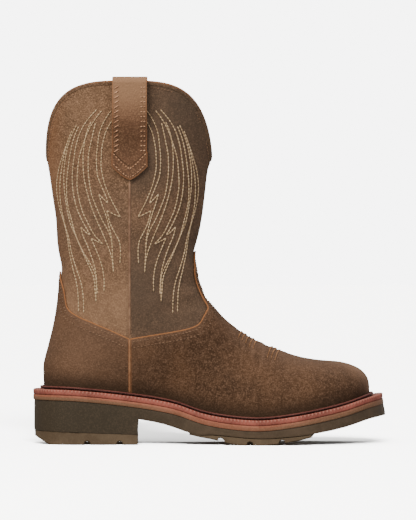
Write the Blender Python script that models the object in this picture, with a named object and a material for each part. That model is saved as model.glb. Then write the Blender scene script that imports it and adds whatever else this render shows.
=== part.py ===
"""A right-foot western work boot, built as its maker's separate pieces at real size.

The boot is drawn with x from the back of the heel to the toe, y towards the medial side
and z up from the floor. Every piece is then placed so that the origin lies on the floor
under the heel, between its two grooves. Tables hold lengths as shares of the named sizes.
"""
import math
from collections import namedtuple

import bmesh
import bpy
import numpy as np
from mathutils import Vector
from mathutils.bvhtree import BVHTree

# Driving dimensions of the sole, in metres
SOLE_LENGTH = 0.3100
BALL_WIDTH = 0.1190
HEEL_LENGTH = 0.0930
HEEL_SEAT = 0.0516
BALL_SEAT = 0.0248
TOE_SPRING = 0.0200
BEAD_HEIGHT = 0.0026
BEAD_WIDTH = 0.0028
WELT_THICKNESS = 0.0048
MIDSOLE_THICKNESS = 0.0040
OUTSOLE_DEPTH = 0.0100
OUTSOLE_INSET = 0.0008
TREAD_INSET = 0.0014
HEEL_TREAD_THICKNESS = 0.0106
HEEL_BEVEL = 0.0085
FOREFOOT_LIFT = 0.0100
GROOVE_WIDTH = 0.0064
GROOVE_DEPTH = 0.0034
EDGE_ROUND = 0.0008
WELT_STRIP = 0.0220

# Driving dimensions of the upper, in metres
WELT_SIDE_LEDGE = 0.0075
WELT_BACK_LEDGE = 0.0095
WELT_TOE_LEDGE = 0.0117
INSTEP_HEIGHT = 0.0865
COLLAR_HEIGHT = 0.3226
SCALLOP_DEPTH = 0.0856
SHAFT_WIDTH = 0.0920
SHAFT_DEPTH = 0.1416
SHAFT_CENTRE = 0.0840
SHAFT_FLARE = 0.0055
ANKLE_HOLLOW = 0.0142
SEAM_PLACE = 0.0860
TOE_SKEW = 0.0900
WALL = 0.0020
OVERLAY = 0.0016
INSOLE_THICKNESS = 0.0048
INSOLE_CLEARANCE = 0.0024

# Driving dimensions of the trim, in metres
BINDING_HEIGHT = 0.0030
BINDING_WIDTH = 0.0038
PIPING_WIDTH = 0.0030
PIPING_HEIGHT = 0.0013
STRAP_WIDTH = 0.0305
STRAP_THICKNESS = 0.0024
STRAP_CROWN = 0.0034
STRAP_DROP = 0.0880
STRAP_POINT = 0.0120
STRAP_INNER_DROP = 0.0600
STRAP_STANDOFF = 0.0058
STRAP_TOP_STANDOFF = 0.8
STRAP_POINT_POWER = 1.4
PIPING_CROWN = 0.2

# Clearance between pieces that touch
GAP = 0.0003
LAYER_GAP = 0.0006

# How finely the curved pieces are divided
REAR_COLUMNS = 8
FRONT_COLUMNS = 14
RINGS_BELOW_EDGE = 12
RINGS_ABOVE_EDGE = 10
SOLE_STATIONS = 34
END_STATION = 0.35
TREAD_STATIONS = 11
PIPING_STATIONS = 16
STRAP_COLUMNS = 6
STRAP_INNER_ROWS = 5
STRAP_TURN_ROWS = 6
STRAP_OUTER_ROWS = 10
LINE_SAMPLES = 12
FOOT_SAMPLES = 400
HALVINGS = 30

# Where the heel tread has its sections, as shares of the heel's length
HEEL_BACK_PLACES = (0.002, 0.012, 0.035, 0.07, 0.12)
HEEL_PLACES = (0.22, 0.34, 0.66, 1.00)
BREAST_CLEARANCE = 0.01

# The sole's outline: half widths at shares of the length, as shares of the ball width
OutlineRow = namedtuple("OutlineRow", "along lateral medial")
OUTLINE = [OutlineRow(*row) for row in (
    (0.00, 0.348, 0.348),
    (0.15, 0.352, 0.350),
    (0.28, 0.350, 0.342),
    (0.40, 0.362, 0.338),
    (0.50, 0.400, 0.352),
    (0.60, 0.455, 0.412),
    (0.68, 0.490, 0.474),
    (0.76, 0.499, 0.501),
    (0.84, 0.484, 0.503),
    (0.92, 0.448, 0.484),
    (1.00, 0.400, 0.446),
)]
HEEL_ROUND_END = 0.140
HEEL_ROUND_POWER = 2.15
TOE_ROUND_START = 0.850
TOE_ROUND_POWER = 2.8
SKEW_START = 0.55

# The line where the bead meets the upper: rise to the heel seat and to the sprung toe
SoleLineRow = namedtuple("SoleLineRow", "along heel_rise toe_rise")
SOLE_LINE = [SoleLineRow(*row) for row in (
    (0.000, 1.00, 0.00),
    (0.120, 0.97, 0.00),
    (0.277, 0.79, 0.00),
    (0.400, 0.55, 0.00),
    (0.490, 0.21, 0.00),
    (0.571, 0.05, 0.00),
    (0.652, 0.00, 0.00),
    (0.732, 0.00, 0.13),
    (0.810, 0.00, 0.35),
    (0.894, 0.00, 0.66),
    (0.963, 0.00, 1.00),
    (1.000, 0.00, 1.12),
)]

# How deep the outsole hangs below the midsole in front of the heel
DepthRow = namedtuple("DepthRow", "along depth")
OUTSOLE_LINE = [DepthRow(*row) for row in (
    (0.300, 0.98),
    (0.360, 1.02),
    (0.420, 1.15),
    (0.465, 1.10),
    (0.520, 0.68),
    (0.620, 0.60),
    (0.720, 0.72),
    (0.800, 0.86),
    (0.860, 0.92),
    (1.000, 0.95),
)]

# The forefoot tread's rolled underside: lift above the floor as shares of the forefoot lift
RollRow = namedtuple("RollRow", "along lift")
TREAD_ROLL = [RollRow(*row) for row in (
    (0.448, 0.92),
    (0.484, 0.68),
    (0.524, 0.45),
    (0.560, 0.14),
    (0.592, 0.00),
    (0.655, 0.00),
    (0.716, 0.18),
    (0.760, 0.44),
    (0.800, 0.76),
    (0.830, 0.98),
)]
TREAD_START = 0.448
TREAD_END = 0.806
HEEL_GROOVES = (0.52, 0.83)
ORIGIN_PLACE = 0.675
FOREFOOT_GROOVES = (0.539, 0.622, 0.717)

# The heel tread's top face falls forward, and its back edge is bevelled
TREAD_FALL = 0.30
BEVEL_LENGTH = 0.16

# Half-round groove, as shares of its half width and its depth
ArcRow = namedtuple("ArcRow", "across rise")
GROOVE_ARC = [ArcRow(*row) for row in (
    (-1.00, 0.00),
    (-0.72, 0.70),
    (0.00, 1.00),
    (0.72, 0.70),
    (1.00, 0.00),
)]

# Front line of the foot, from the toe to the ankle: shares of the upper's length and instep height
ProfileRow = namedtuple("ProfileRow", "forward height")
VAMP_LINE = [ProfileRow(*row) for row in (
    (1.000, 0.000),
    (0.999, 0.130),
    (0.988, 0.214),
    (0.964, 0.284),
    (0.916, 0.341),
    (0.850, 0.367),
    (0.801, 0.393),
    (0.763, 0.424),
    (0.727, 0.464),
    (0.677, 0.526),
    (0.628, 0.600),
    (0.579, 0.694),
    (0.554, 0.757),
    (0.530, 0.830),
    (0.509, 0.900),
    (0.493, 1.000),
)]

# Front line of the shaft: shares of the shaft's depth ahead of its centre and of its height
SHAFT_LINE = [ProfileRow(*row) for row in (
    (0.4541, 0.090),
    (0.4371, 0.181),
    (0.4287, 0.272),
    (0.4379, 0.363),
    (0.4514, 0.477),
    (0.4706, 0.613),
    (0.4843, 0.750),
    (0.5013, 0.909),
    (0.5220, 1.000),
)]

# Back line of the upper: how far the ankle hollow goes in at shares of the back's height
BackRow = namedtuple("BackRow", "height hollow")
BACK_LINE = [BackRow(*row) for row in (
    (0.000, 0.00),
    (0.090, -0.04),
    (0.128, 0.00),
    (0.205, 0.25),
    (0.282, 0.50),
    (0.359, 0.71),
    (0.436, 0.87),
    (0.513, 0.96),
    (0.564, 1.00),
    (0.615, 0.92),
    (0.692, 0.83),
    (0.769, 0.75),
    (0.846, 0.58),
    (1.000, 0.24),
)]

# The shaft's width at shares of the collar height
WidthRow = namedtuple("WidthRow", "height width")
SHAFT_WIDTHS = [WidthRow(*row) for row in (
    (0.00, 0.960),
    (0.29, 0.960),
    (0.38, 0.972),
    (0.45, 0.975),
    (0.60, 1.000),
    (1.00, 1.000),
)]

# The top edge of counter and vamp: share of the way from the back, or from the seam, to the
# next line, and height as a share of the collar height
EdgeRow = namedtuple("EdgeRow", "way height")
COUNTER_EDGE = [EdgeRow(*row) for row in (
    (0.00, 0.474),
    (0.12, 0.456),
    (0.24, 0.425),
    (0.32, 0.380),
    (0.48, 0.354),
    (0.63, 0.338),
    (0.82, 0.316),
    (1.00, 0.292),
)]
VAMP_EDGE = [EdgeRow(*row) for row in (
    (0.00, 0.292),
    (0.10, 0.302),
    (0.22, 0.312),
    (0.33, 0.322),
    (0.41, 0.334),
    (0.49, 0.354),
    (0.56, 0.367),
    (0.64, 0.381),
    (0.69, 0.406),
    (0.715, 0.437),
    (0.735, 0.470),
    (0.80, 0.487),
    (0.86, 0.504),
    (0.93, 0.519),
    (1.00, 0.530),
)]

# Shape constants of the upper's rings
WIDEST_SHARE = 0.10
SECTION_POWER = 2.70
OVAL_POWER = 2.10
SCALLOP_POWER = 1.65
SCALLOP_ROUND = 0.13
RISE_START = 0.35
RING_POWER = 1.40
FOOT_COLUMNS_END = 0.60
SEAM_FADE_RINGS = 3
LEVEL_POWER = 1.5
OVERHANG_SLOPE = 4
SHAFT_HEIGHTS = (0.10, 0.30)
SHAFT_LENGTHS = (0.51, 0.70)
LEVEL_LIMITS = (0.05, 0.95)

# Surfaces of the materials: name, colour, roughness, metallic
SurfaceRow = namedtuple("SurfaceRow", "colour roughness metallic")
SURFACES = {
    "oiled_leather": SurfaceRow((0.150, 0.090, 0.055), 0.75, 0.0),
    "strap_leather": SurfaceRow((0.190, 0.095, 0.055), 0.70, 0.0),
    "binding_leather": SurfaceRow((0.400, 0.165, 0.080), 0.60, 0.0),
    "insole_leather": SurfaceRow((0.300, 0.180, 0.100), 0.80, 0.0),
    "red_rubber": SurfaceRow((0.320, 0.075, 0.045), 0.60, 0.0),
    "burgundy_rubber": SurfaceRow((0.110, 0.020, 0.018), 0.55, 0.0),
    "salmon_rubber": SurfaceRow((0.360, 0.145, 0.090), 0.70, 0.0),
    "dark_rubber": SurfaceRow((0.060, 0.042, 0.030), 0.65, 0.0),
    "tread_rubber": SurfaceRow((0.140, 0.095, 0.060), 0.70, 0.0),
}

# Lengths that follow from the driving dimensions
UPPER_LENGTH = SOLE_LENGTH - WELT_BACK_LEDGE - WELT_TOE_LEDGE
DIP_HEIGHT = COLLAR_HEIGHT - BINDING_HEIGHT - SCALLOP_DEPTH
WELT_TOP = BEAD_HEIGHT
WELT_UNDER = WELT_TOP + WELT_THICKNESS
MIDSOLE_TOP = WELT_UNDER + LAYER_GAP
MIDSOLE_UNDER = MIDSOLE_TOP + MIDSOLE_THICKNESS
OUTSOLE_TOP = MIDSOLE_UNDER + GAP
SIDES = (("lateral", -1), ("medial", 1))


def read(table, column, at):
    """A column's value at a place along the table's first column, on a smooth curve."""
    keys = [row[0] for row in table]
    values = [getattr(row, column) for row in table]
    at = min(max(at, keys[0]), keys[-1])
    low = max(i for i in range(len(keys) - 1) if keys[i] <= at)

    def slope(i):
        before, after = max(i - 1, 0), min(i + 1, len(keys) - 1)
        return (values[after] - values[before]) / (keys[after] - keys[before])

    span = keys[low + 1] - keys[low]
    t = (at - keys[low]) / span
    rise = values[low + 1] - values[low]
    near, far = slope(low) * span, slope(low + 1) * span
    return (values[low] + t * near + t * t * (3 * rise - 2 * near - far)
            + t * t * t * (near + far - 2 * rise))


def ease(low, high, at):
    """0 below low, 1 above high and a smooth step between."""
    t = min(max((at - low) / (high - low), 0.0), 1.0)
    return t * t * (3 - 2 * t)


def mix(a, b, share):
    return a + (b - a) * share


def round_end(share, power):
    """Half width left at a share of the way to a rounded end, 1 at its start and 0 at its end."""
    share = min(max(share, 0.0), 1.0)
    return (1 - share ** power) ** (1 / power)


# Plan of the sole
def closing(along):
    """How far the outline closes in at the round heel and the square toe."""
    heel = round_end(1 - along / HEEL_ROUND_END, HEEL_ROUND_POWER)
    toe = round_end((along - TOE_ROUND_START) / (1 - TOE_ROUND_START), TOE_ROUND_POWER)
    return heel * toe


def skewed(x, y):
    """The forefoot's medial side reaches further forward than its lateral side."""
    return x + TOE_SKEW * y * ease(SKEW_START, 1.0, x / SOLE_LENGTH)


def outline(along, side, inset, back_inset, toe_inset):
    """A point of the sole's outline, moved in by insets at the sides, the back and the toe."""
    column = "lateral" if side < 0 else "medial"
    half = closing(along) * (read(OUTLINE, column, along) * BALL_WIDTH - inset)
    x = mix(back_inset, SOLE_LENGTH - toe_inset, along)
    return skewed(x, side * half), side * half


def sole_line(x):
    """Height of the line where the bead meets the upper."""
    along = x / SOLE_LENGTH
    heel = (HEEL_SEAT - BALL_SEAT) * read(SOLE_LINE, "heel_rise", along)
    return BALL_SEAT + heel + TOE_SPRING * read(SOLE_LINE, "toe_rise", along)


# Building solids from sections
def finish(name, bm, surface):
    """Make the object, moved so that the origin lies under the heel, between its grooves."""
    bmesh.ops.recalc_face_normals(bm, faces=bm.faces)
    mesh = bpy.data.meshes.new(name)
    bm.to_mesh(mesh)
    bm.free()
    mesh.materials.append(surface)
    mesh.shade_smooth()
    mesh.set_sharp_from_angle(angle=math.radians(35))
    piece = bpy.data.objects.new(name, mesh)
    piece.location.x = -ORIGIN_PLACE * HEEL_LENGTH
    bpy.context.scene.collection.objects.link(piece)
    return piece


def loft_mesh(sections, wrap):
    """A closed mesh through loops of points. The second half of each loop returns beside the
    first, so its diagonals are mirrored, and the two ends are closed by strips across."""
    bm = bmesh.new()
    loops = [[bm.verts.new(point) for point in section] for section in sections]
    count = len(loops[0])
    pairs = list(zip(loops, loops[1:]))
    if wrap:
        pairs.append((loops[-1], loops[0]))
    for a, b in pairs:
        for i in range(count):
            j = (i + 1) % count
            if i < count // 2:
                bm.faces.new((a[i], a[j], b[j]))
                bm.faces.new((a[i], b[j], b[i]))
            else:
                bm.faces.new((a[i], a[j], b[i]))
                bm.faces.new((a[j], b[j], b[i]))
    if not wrap:
        for loop in (loops[0], loops[-1]):
            for i in range(count // 2 - 1):
                bm.faces.new((loop[i], loop[i + 1], loop[count - 2 - i], loop[count - 1 - i]))
    return bm


def sole_stations():
    """Shares along the sole, closer together at the round ends."""
    ends = END_STATION / SOLE_STATIONS
    steps = [mix(ends, 1 - ends, i / SOLE_STATIONS) for i in range(SOLE_STATIONS + 1)]
    return [(1 - math.cos(math.pi * step)) / 2 for step in steps]


def layer_section(along, rows):
    """A section across the sole from rows of inset and height function, lateral then medial."""
    halves = []
    for side in (-1, 1):
        half = []
        for inset, height in rows:
            x, y = outline(along, side, inset, inset, inset)
            half.append(Vector((x, y, height(x))))
        halves.append(half)
    return halves[0] + halves[1][::-1]


def ring_sections(rows):
    """Sections of a strip that runs all round the sole."""
    sections = []
    for side, stations in ((-1, sole_stations()), (1, sole_stations()[::-1])):
        for along in stations:
            section = []
            for inset, drop in rows:
                x, y = outline(along, side, inset, inset, inset)
                section.append(Vector((x, y, sole_line(x) - drop)))
            sections.append(section)
    return sections


def make_welt(surface):
    rows = (
        (EDGE_ROUND, WELT_TOP),
        (0.0, WELT_TOP + EDGE_ROUND),
        (0.0, WELT_UNDER - EDGE_ROUND),
        (EDGE_ROUND, WELT_UNDER),
        (WELT_STRIP, WELT_UNDER),
        (WELT_STRIP, WELT_TOP),
    )
    finish("welt", loft_mesh(ring_sections(rows), wrap=True), surface)


def make_midsole(surface):
    """The layer under the welt, with a raised middle that fills the welt's ring."""
    core = WELT_STRIP + GAP
    rows = (
        (core, lambda x: sole_line(x) - WELT_TOP),
        (core, lambda x: sole_line(x) - MIDSOLE_TOP),
        (EDGE_ROUND, lambda x: sole_line(x) - MIDSOLE_TOP),
        (0.0, lambda x: sole_line(x) - MIDSOLE_TOP - EDGE_ROUND),
        (0.0, lambda x: sole_line(x) - MIDSOLE_UNDER + EDGE_ROUND),
        (EDGE_ROUND, lambda x: sole_line(x) - MIDSOLE_UNDER),
    )
    sections = [layer_section(along, rows) for along in sole_stations()]
    finish("midsole", loft_mesh(sections, wrap=False), surface)


def heel_tread_top(x):
    """The heel tread's upper face, which falls towards the front of the heel."""
    return HEEL_TREAD_THICKNESS * (1 + TREAD_FALL * (0.5 - x / HEEL_LENGTH))


def outsole_under(x):
    """The outsole's underside: on the heel tread, then the arch and the forefoot."""
    if x <= HEEL_LENGTH:
        return heel_tread_top(x) + GAP
    depth = OUTSOLE_DEPTH * read(OUTSOLE_LINE, "depth", x / SOLE_LENGTH)
    return sole_line(x) - OUTSOLE_TOP - depth


def share_at(x, inset):
    """The share along an inset outline at which it passes a place x."""
    return (x - inset) / (SOLE_LENGTH - 2 * inset)


def make_outsole(surface):
    rows = (
        (OUTSOLE_INSET + EDGE_ROUND, lambda x: sole_line(x) - OUTSOLE_TOP),
        (OUTSOLE_INSET, lambda x: sole_line(x) - OUTSOLE_TOP - EDGE_ROUND),
        (OUTSOLE_INSET, lambda x: outsole_under(x) + EDGE_ROUND),
        (OUTSOLE_INSET + EDGE_ROUND, outsole_under),
    )
    breast = share_at(HEEL_LENGTH, OUTSOLE_INSET)
    step = GAP / SOLE_LENGTH
    stations = [along for along in sole_stations() if abs(along - breast) > BREAST_CLEARANCE]
    stations = sorted(stations + [breast - step, breast + step])
    finish("outsole", loft_mesh([layer_section(a, rows) for a in stations], wrap=False), surface)


def groove_stations(places, half):
    """Places where half-round grooves need a section, with the rise of the groove there."""
    return {place + row.across * half: row.rise * GROOVE_DEPTH
            for place in places for row in GROOVE_ARC}


def tread_sections(places, rises, top, under):
    """Sections of a tread layer at places along x, with the grooves' rises added below."""
    sections = []
    for x in places:
        half = []
        for side in (-1, 1):
            along = share_at(x, TREAD_INSET)
            edge = outline(along, side, TREAD_INSET, TREAD_INSET, TREAD_INSET)
            low = outline(along, side, TREAD_INSET + EDGE_ROUND, TREAD_INSET, TREAD_INSET)
            floor = under(edge[0]) + rises.get(x, 0.0)
            half.append([Vector((edge[0], edge[1], top(edge[0]))),
                         Vector((edge[0], edge[1], floor + EDGE_ROUND)),
                         Vector((edge[0], low[1], floor))])
        sections.append(half[0] + half[1][::-1])
    return sections


def make_heel_tread(surface):
    rises = groove_stations([share * HEEL_LENGTH for share in HEEL_GROOVES], GROOVE_WIDTH / 2)
    bevel = BEVEL_LENGTH * HEEL_LENGTH

    def under(x):
        return HEEL_BEVEL * max(0.0, 1 - x / bevel)

    back = [TREAD_INSET + share * HEEL_LENGTH for share in HEEL_BACK_PLACES]
    plain = [share * HEEL_LENGTH for share in HEEL_PLACES]
    places = sorted(set(back + [bevel] + plain + list(rises)))
    sections = tread_sections(places, rises, heel_tread_top, under)
    finish("heel_tread", loft_mesh(sections, wrap=False), surface)


def tread_roll(x):
    return FOREFOOT_LIFT * max(0.0, read(TREAD_ROLL, "lift", x / SOLE_LENGTH))


def make_forefoot_tread(surface):
    rises = groove_stations([share * SOLE_LENGTH for share in FOREFOOT_GROOVES], GROOVE_WIDTH / 2)
    near = GROOVE_WIDTH / 3
    steps = [i / TREAD_STATIONS for i in range(TREAD_STATIONS + 1)]
    plain = [SOLE_LENGTH * mix(TREAD_START, TREAD_END, step) for step in steps]
    flat = [row.along * SOLE_LENGTH for row in TREAD_ROLL if row.lift == 0.0]
    plain = [x for x in plain if all(abs(x - other) > near for other in list(rises) + flat)]
    places = sorted(set(plain + flat + list(rises)))
    sections = tread_sections(places, rises, lambda x: outsole_under(x) - LAYER_GAP, tread_roll)
    finish("forefoot_tread", loft_mesh(sections, wrap=False), surface)


# The upper's surface
def feather(x):
    """Height of the upper's lower edge, just above the welt and hidden by the bead."""
    return sole_line(x) - WELT_TOP + LAYER_GAP


def front_samples():
    """The front line from the toe to the front dip of the collar, as fine samples."""
    toe = SOLE_LENGTH - WELT_TOE_LEDGE
    low = feather(toe)
    points = [(WELT_BACK_LEDGE + row.forward * UPPER_LENGTH, low + row.height * INSTEP_HEIGHT)
              for row in VAMP_LINE]
    ankle = low + INSTEP_HEIGHT
    points += [(SHAFT_CENTRE + row.forward * SHAFT_DEPTH, mix(ankle, DIP_HEIGHT, row.height))
               for row in SHAFT_LINE]
    Sample = namedtuple("Sample", "step x z")
    table = [Sample(i, x, z) for i, (x, z) in enumerate(points)]
    steps = np.linspace(0, len(points) - 1, LINE_SAMPLES * len(points))
    xs = np.array([read(table, "x", step) for step in steps])
    zs = np.array([read(table, "z", step) for step in steps])
    arc = np.concatenate(([0.0], np.cumsum(np.hypot(np.diff(xs), np.diff(zs)))))
    return xs, zs, arc / arc[-1]


FRONT_X, FRONT_Z, FRONT_SHARE = front_samples()
VAMP_SAMPLES = int(np.argmin(FRONT_X)) + 1


def front_point(v):
    return np.interp(v, FRONT_SHARE, FRONT_X), np.interp(v, FRONT_SHARE, FRONT_Z)


def back_point(v):
    low = feather(WELT_BACK_LEDGE)
    x = WELT_BACK_LEDGE + ANKLE_HOLLOW * read(BACK_LINE, "hollow", v)
    return x, mix(low, DIP_HEIGHT, v)


def foot_top(x):
    """Height of the foot's front line over a place x, far above the shaft's opening."""
    if x < FRONT_X.min():
        return FRONT_Z[VAMP_SAMPLES - 1] + OVERHANG_SLOPE * (FRONT_X.min() - x)
    return np.interp(x, FRONT_X[:VAMP_SAMPLES][::-1], FRONT_Z[:VAMP_SAMPLES][::-1])


def skin(side, s, v):
    """A point of the outer surface: s from the back line to the front line, v from the
    featherline to the collar."""
    back_x, back_z = back_point(v)
    front_x, front_z = front_point(v)
    x = mix(back_x, front_x, s)
    across = round_end(abs(2 * s - 1), 2)
    chord = mix(feather(back_x), feather(front_x), s)
    scallop = math.sqrt(across ** 2 + SCALLOP_ROUND ** 2) / math.sqrt(1 + SCALLOP_ROUND ** 2)
    rise = SCALLOP_DEPTH * (1 - (1 - scallop) ** SCALLOP_POWER)
    level = max(0.0, (v - RISE_START) / (1 - RISE_START)) ** LEVEL_POWER
    low_share = (1 - v) ** LEVEL_POWER
    z = mix(back_z, front_z, s) + (feather(x) - chord) * low_share + rise * level
    end_x = back_x if x < SHAFT_CENTRE else front_x
    round_off = round_end((x - SHAFT_CENTRE) / (end_x - SHAFT_CENTRE), OVAL_POWER)

    along = (x - back_x) / max(UPPER_LENGTH, front_x - back_x)
    column = "lateral" if side < 0 else "medial"
    wide = closing(along) * (read(OUTLINE, column, along) * BALL_WIDTH - WELT_SIDE_LEDGE)
    up = (z - feather(x)) / max(foot_top(x) - feather(x), GAP)
    up = min(max((up - WIDEST_SHARE) / (1 - WIDEST_SHARE), 0.0), 1.0)
    foot = wide * math.sqrt(1 - up ** SECTION_POWER)
    oval = SHAFT_WIDTH / 2 * read(SHAFT_WIDTHS, "width", z / COLLAR_HEIGHT)
    oval *= round_off
    shaft = ease(*SHAFT_HEIGHTS, z / COLLAR_HEIGHT) * (1 - ease(*SHAFT_LENGTHS, x / SOLE_LENGTH))
    y = side * mix(foot, oval, shaft)
    forward = skewed(x, y) - SHAFT_FLARE * (1 - s) * ease(DIP_HEIGHT, COLLAR_HEIGHT, z)
    return Vector((forward, y, z + (feather(forward) - feather(x)) * low_share))


def foot_shares(side):
    """Shares s of the columns at the featherline, evenly spaced round the foot's outline."""
    steps = np.linspace(0.0, 1.0, FOOT_SAMPLES + 1)
    shares = 1 - (1 - steps ** 2) ** 2
    points = [skin(side, s, 0.0) for s in shares]
    runs = [(b - a).length for a, b in zip(points, points[1:])]
    arc = np.concatenate(([0.0], np.cumsum(runs)))
    back_x, front_x = back_point(0.0)[0], front_point(0.0)[0]
    seam = np.interp((SEAM_PLACE - back_x) / (front_x - back_x), shares, arc)
    rear = [seam * i / REAR_COLUMNS for i in range(REAR_COLUMNS)]
    front = [mix(seam, arc[-1], i / FRONT_COLUMNS) for i in range(FRONT_COLUMNS + 1)]
    return [float(np.interp(place, arc, shares)) for place in rear + front]


FOOT_SHARES = {side: foot_shares(side) for _, side in SIDES}


def column_share(side, column, v):
    """The share s of a column at a level v, with one column straight down the side seam."""
    back_x, front_x = back_point(v)[0], front_point(v)[0]
    seam = (SEAM_PLACE - back_x) / (front_x - back_x)
    foot_seam = FOOT_SHARES[side][REAR_COLUMNS]
    if column <= REAR_COLUMNS:
        even = FOOT_SHARES[side][column] / foot_seam
        turned = 1 - math.cos(math.pi / 2 * column / REAR_COLUMNS)
        return seam * mix(even, turned, ease(0.0, FOOT_COLUMNS_END, v))
    even = (1 - FOOT_SHARES[side][column]) / (1 - foot_seam)
    turned = 1 - math.sin(math.pi / 2 * (column - REAR_COLUMNS) / FRONT_COLUMNS)
    return 1 - (1 - seam) * mix(even, turned, ease(0.0, FOOT_COLUMNS_END, v))


def edge_height(column):
    if column <= REAR_COLUMNS:
        return COLLAR_HEIGHT * read(COUNTER_EDGE, "height", column / REAR_COLUMNS)
    return COLLAR_HEIGHT * read(VAMP_EDGE, "height", (column - REAR_COLUMNS) / FRONT_COLUMNS)


def edge_level(side, column):
    """The level v at which a column crosses the top edge of counter or vamp."""
    low, high = LEVEL_LIMITS
    target = edge_height(column)
    for _ in range(HALVINGS):
        middle = (low + high) / 2
        if skin(side, column_share(side, column, middle), middle).z < target:
            low = middle
        else:
            high = middle
    return low


def ring_levels(edge):
    """Levels of all rings: finer near the featherline, and one on the overlay's edge."""
    below = [edge * (i / RINGS_BELOW_EDGE) ** RING_POWER for i in range(RINGS_BELOW_EDGE + 1)]
    above = [mix(edge, 1.0, i / RINGS_ABOVE_EDGE) for i in range(1, RINGS_ABOVE_EDGE + 1)]
    return below + above


def upper_grid():
    """Columns of points all round: down the lateral side from the back, then the medial."""
    last = REAR_COLUMNS + FRONT_COLUMNS
    order = [(-1, c) for c in range(last + 1)] + [(1, c) for c in range(last - 1, 0, -1)]
    grid = []
    for side, column in order:
        levels = ring_levels(edge_level(side, column))
        grid.append([skin(side, column_share(side, column, v), v) for v in levels])
    return grid


def grid_normals(grid):
    """Outward normals of the grid's points, from their neighbours."""
    count, rings = len(grid), len(grid[0])
    normals = []
    for k in range(count):
        row = []
        for r in range(rings):
            around = grid[(k + 1) % count][r] - grid[k - 1][r]
            up = grid[k][min(r + 1, rings - 1)] - grid[k][max(r - 1, 0)]
            row.append(around.cross(up).normalized())
        normals.append(row)
    return normals


def wall_offset(ring):
    """How far the upper's wall lies inside the grid: under the overlay, then out to it."""
    above = (ring - RINGS_BELOW_EDGE) / SEAM_FADE_RINGS
    return (OVERLAY + GAP) * (1 - ease(0.0, 1.0, above))


def layer(grid, normals, column, rings, depth):
    """Points of a column moved in by a depth that may change with the ring."""
    return [grid[column][r] - normals[column][r] * depth(r) for r in rings]


def make_upper(grid, normals, surface):
    rings = range(len(grid[0]))
    sections = []
    for column in range(len(grid)):
        outer = layer(grid, normals, column, rings, wall_offset)
        inner = layer(grid, normals, column, rings, lambda r: wall_offset(r) + WALL)
        sections.append(outer + inner[::-1])
    bm = loft_mesh(sections, wrap=True)
    tree = BVHTree.FromBMesh(bm)
    finish("upper", bm, surface)
    return tree


def make_overlay(name, grid, normals, columns, surface):
    """An outer leather piece over the wall, from one side seam round to the other."""
    rings = range(RINGS_BELOW_EDGE + 1)
    sections = []
    for column in columns:
        outer = layer(grid, normals, column, rings, lambda r: 0.0)
        inner = layer(grid, normals, column, rings, lambda r: OVERLAY)
        sections.append(outer + inner[::-1])
    for end, neighbour in ((0, 1), (-1, -2)):
        for i, point in enumerate(sections[end]):
            inward = (sections[neighbour][i] - point).normalized()
            sections[end][i] = point + inward * GAP
    finish(name, loft_mesh(sections, wrap=False), surface)


def make_bead(grid, normals, surface):
    """The raised bead that hugs the foot of the upper on top of the welt."""
    sections = []
    for column in range(len(grid)):
        foot, out = grid[column][0], normals[column][0].copy()
        out.z = 0.0
        out.normalize()
        near = foot + out * 2 * GAP
        far = near + out * BEAD_WIDTH
        top = BEAD_HEIGHT - GAP
        section = [(near, top - EDGE_ROUND), (near + out * EDGE_ROUND, top),
                   (far - out * EDGE_ROUND, top), (far, top - EDGE_ROUND),
                   (far, 0.0), (near, 0.0)]
        sections.append([Vector((p.x, p.y, feather(p.x) + lift)) for p, lift in section])
    finish("storm_bead", loft_mesh(sections, wrap=True), surface)


def make_insole(surface):
    """The board inside the upper, its edge a little clear of the wall."""
    inside = OVERLAY + WALL + INSOLE_CLEARANCE
    sections = []
    for along in sole_stations():
        section = []
        for side, lifts in ((-1, (INSOLE_THICKNESS, 0.0)), (1, (0.0, INSOLE_THICKNESS))):
            x, y = outline(along, side, WELT_SIDE_LEDGE + inside, WELT_BACK_LEDGE + inside,
                           WELT_TOE_LEDGE + inside)
            section += [Vector((x, y, feather(x) + lift)) for lift in lifts]
        sections.append(section)
    finish("insole", loft_mesh(sections, wrap=False), surface)


def make_binding(grid, normals, surface):
    """The folded edge that sits on the collar's wall and follows its scallops."""
    count = len(grid)
    sections = []
    for k in range(count):
        around = (grid[(k + 1) % count][-1] - grid[k - 1][-1]).normalized()
        out = normals[k][-1]
        up = out.cross(around).normalized()
        if up.z < 0:
            up = -up
        middle = grid[k][-1] - out * WALL / 2
        half, corner = BINDING_WIDTH / 2, BINDING_WIDTH / 4
        low, high = GAP, BINDING_HEIGHT
        rows = ((half, low), (half, high - corner), (corner, high),
                (-corner, high), (-half, high - corner), (-half, low))
        sections.append([middle + out * a + up * b for a, b in rows])
    finish("topline_binding", loft_mesh(sections, wrap=True), surface)


# Trim on the sides of the shaft
def wall_reach(tree, x, z, side):
    """How far the wall's outer and inner faces reach at a place on one side."""
    far = SHAFT_WIDTH * side
    outer = tree.ray_cast(Vector((x, far, z)), Vector((0, -side, 0)))[0]
    inner = tree.ray_cast(Vector((x, 0.0, z)), Vector((0, side, 0)))[0]
    return abs(outer.y), abs(inner.y)


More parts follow.
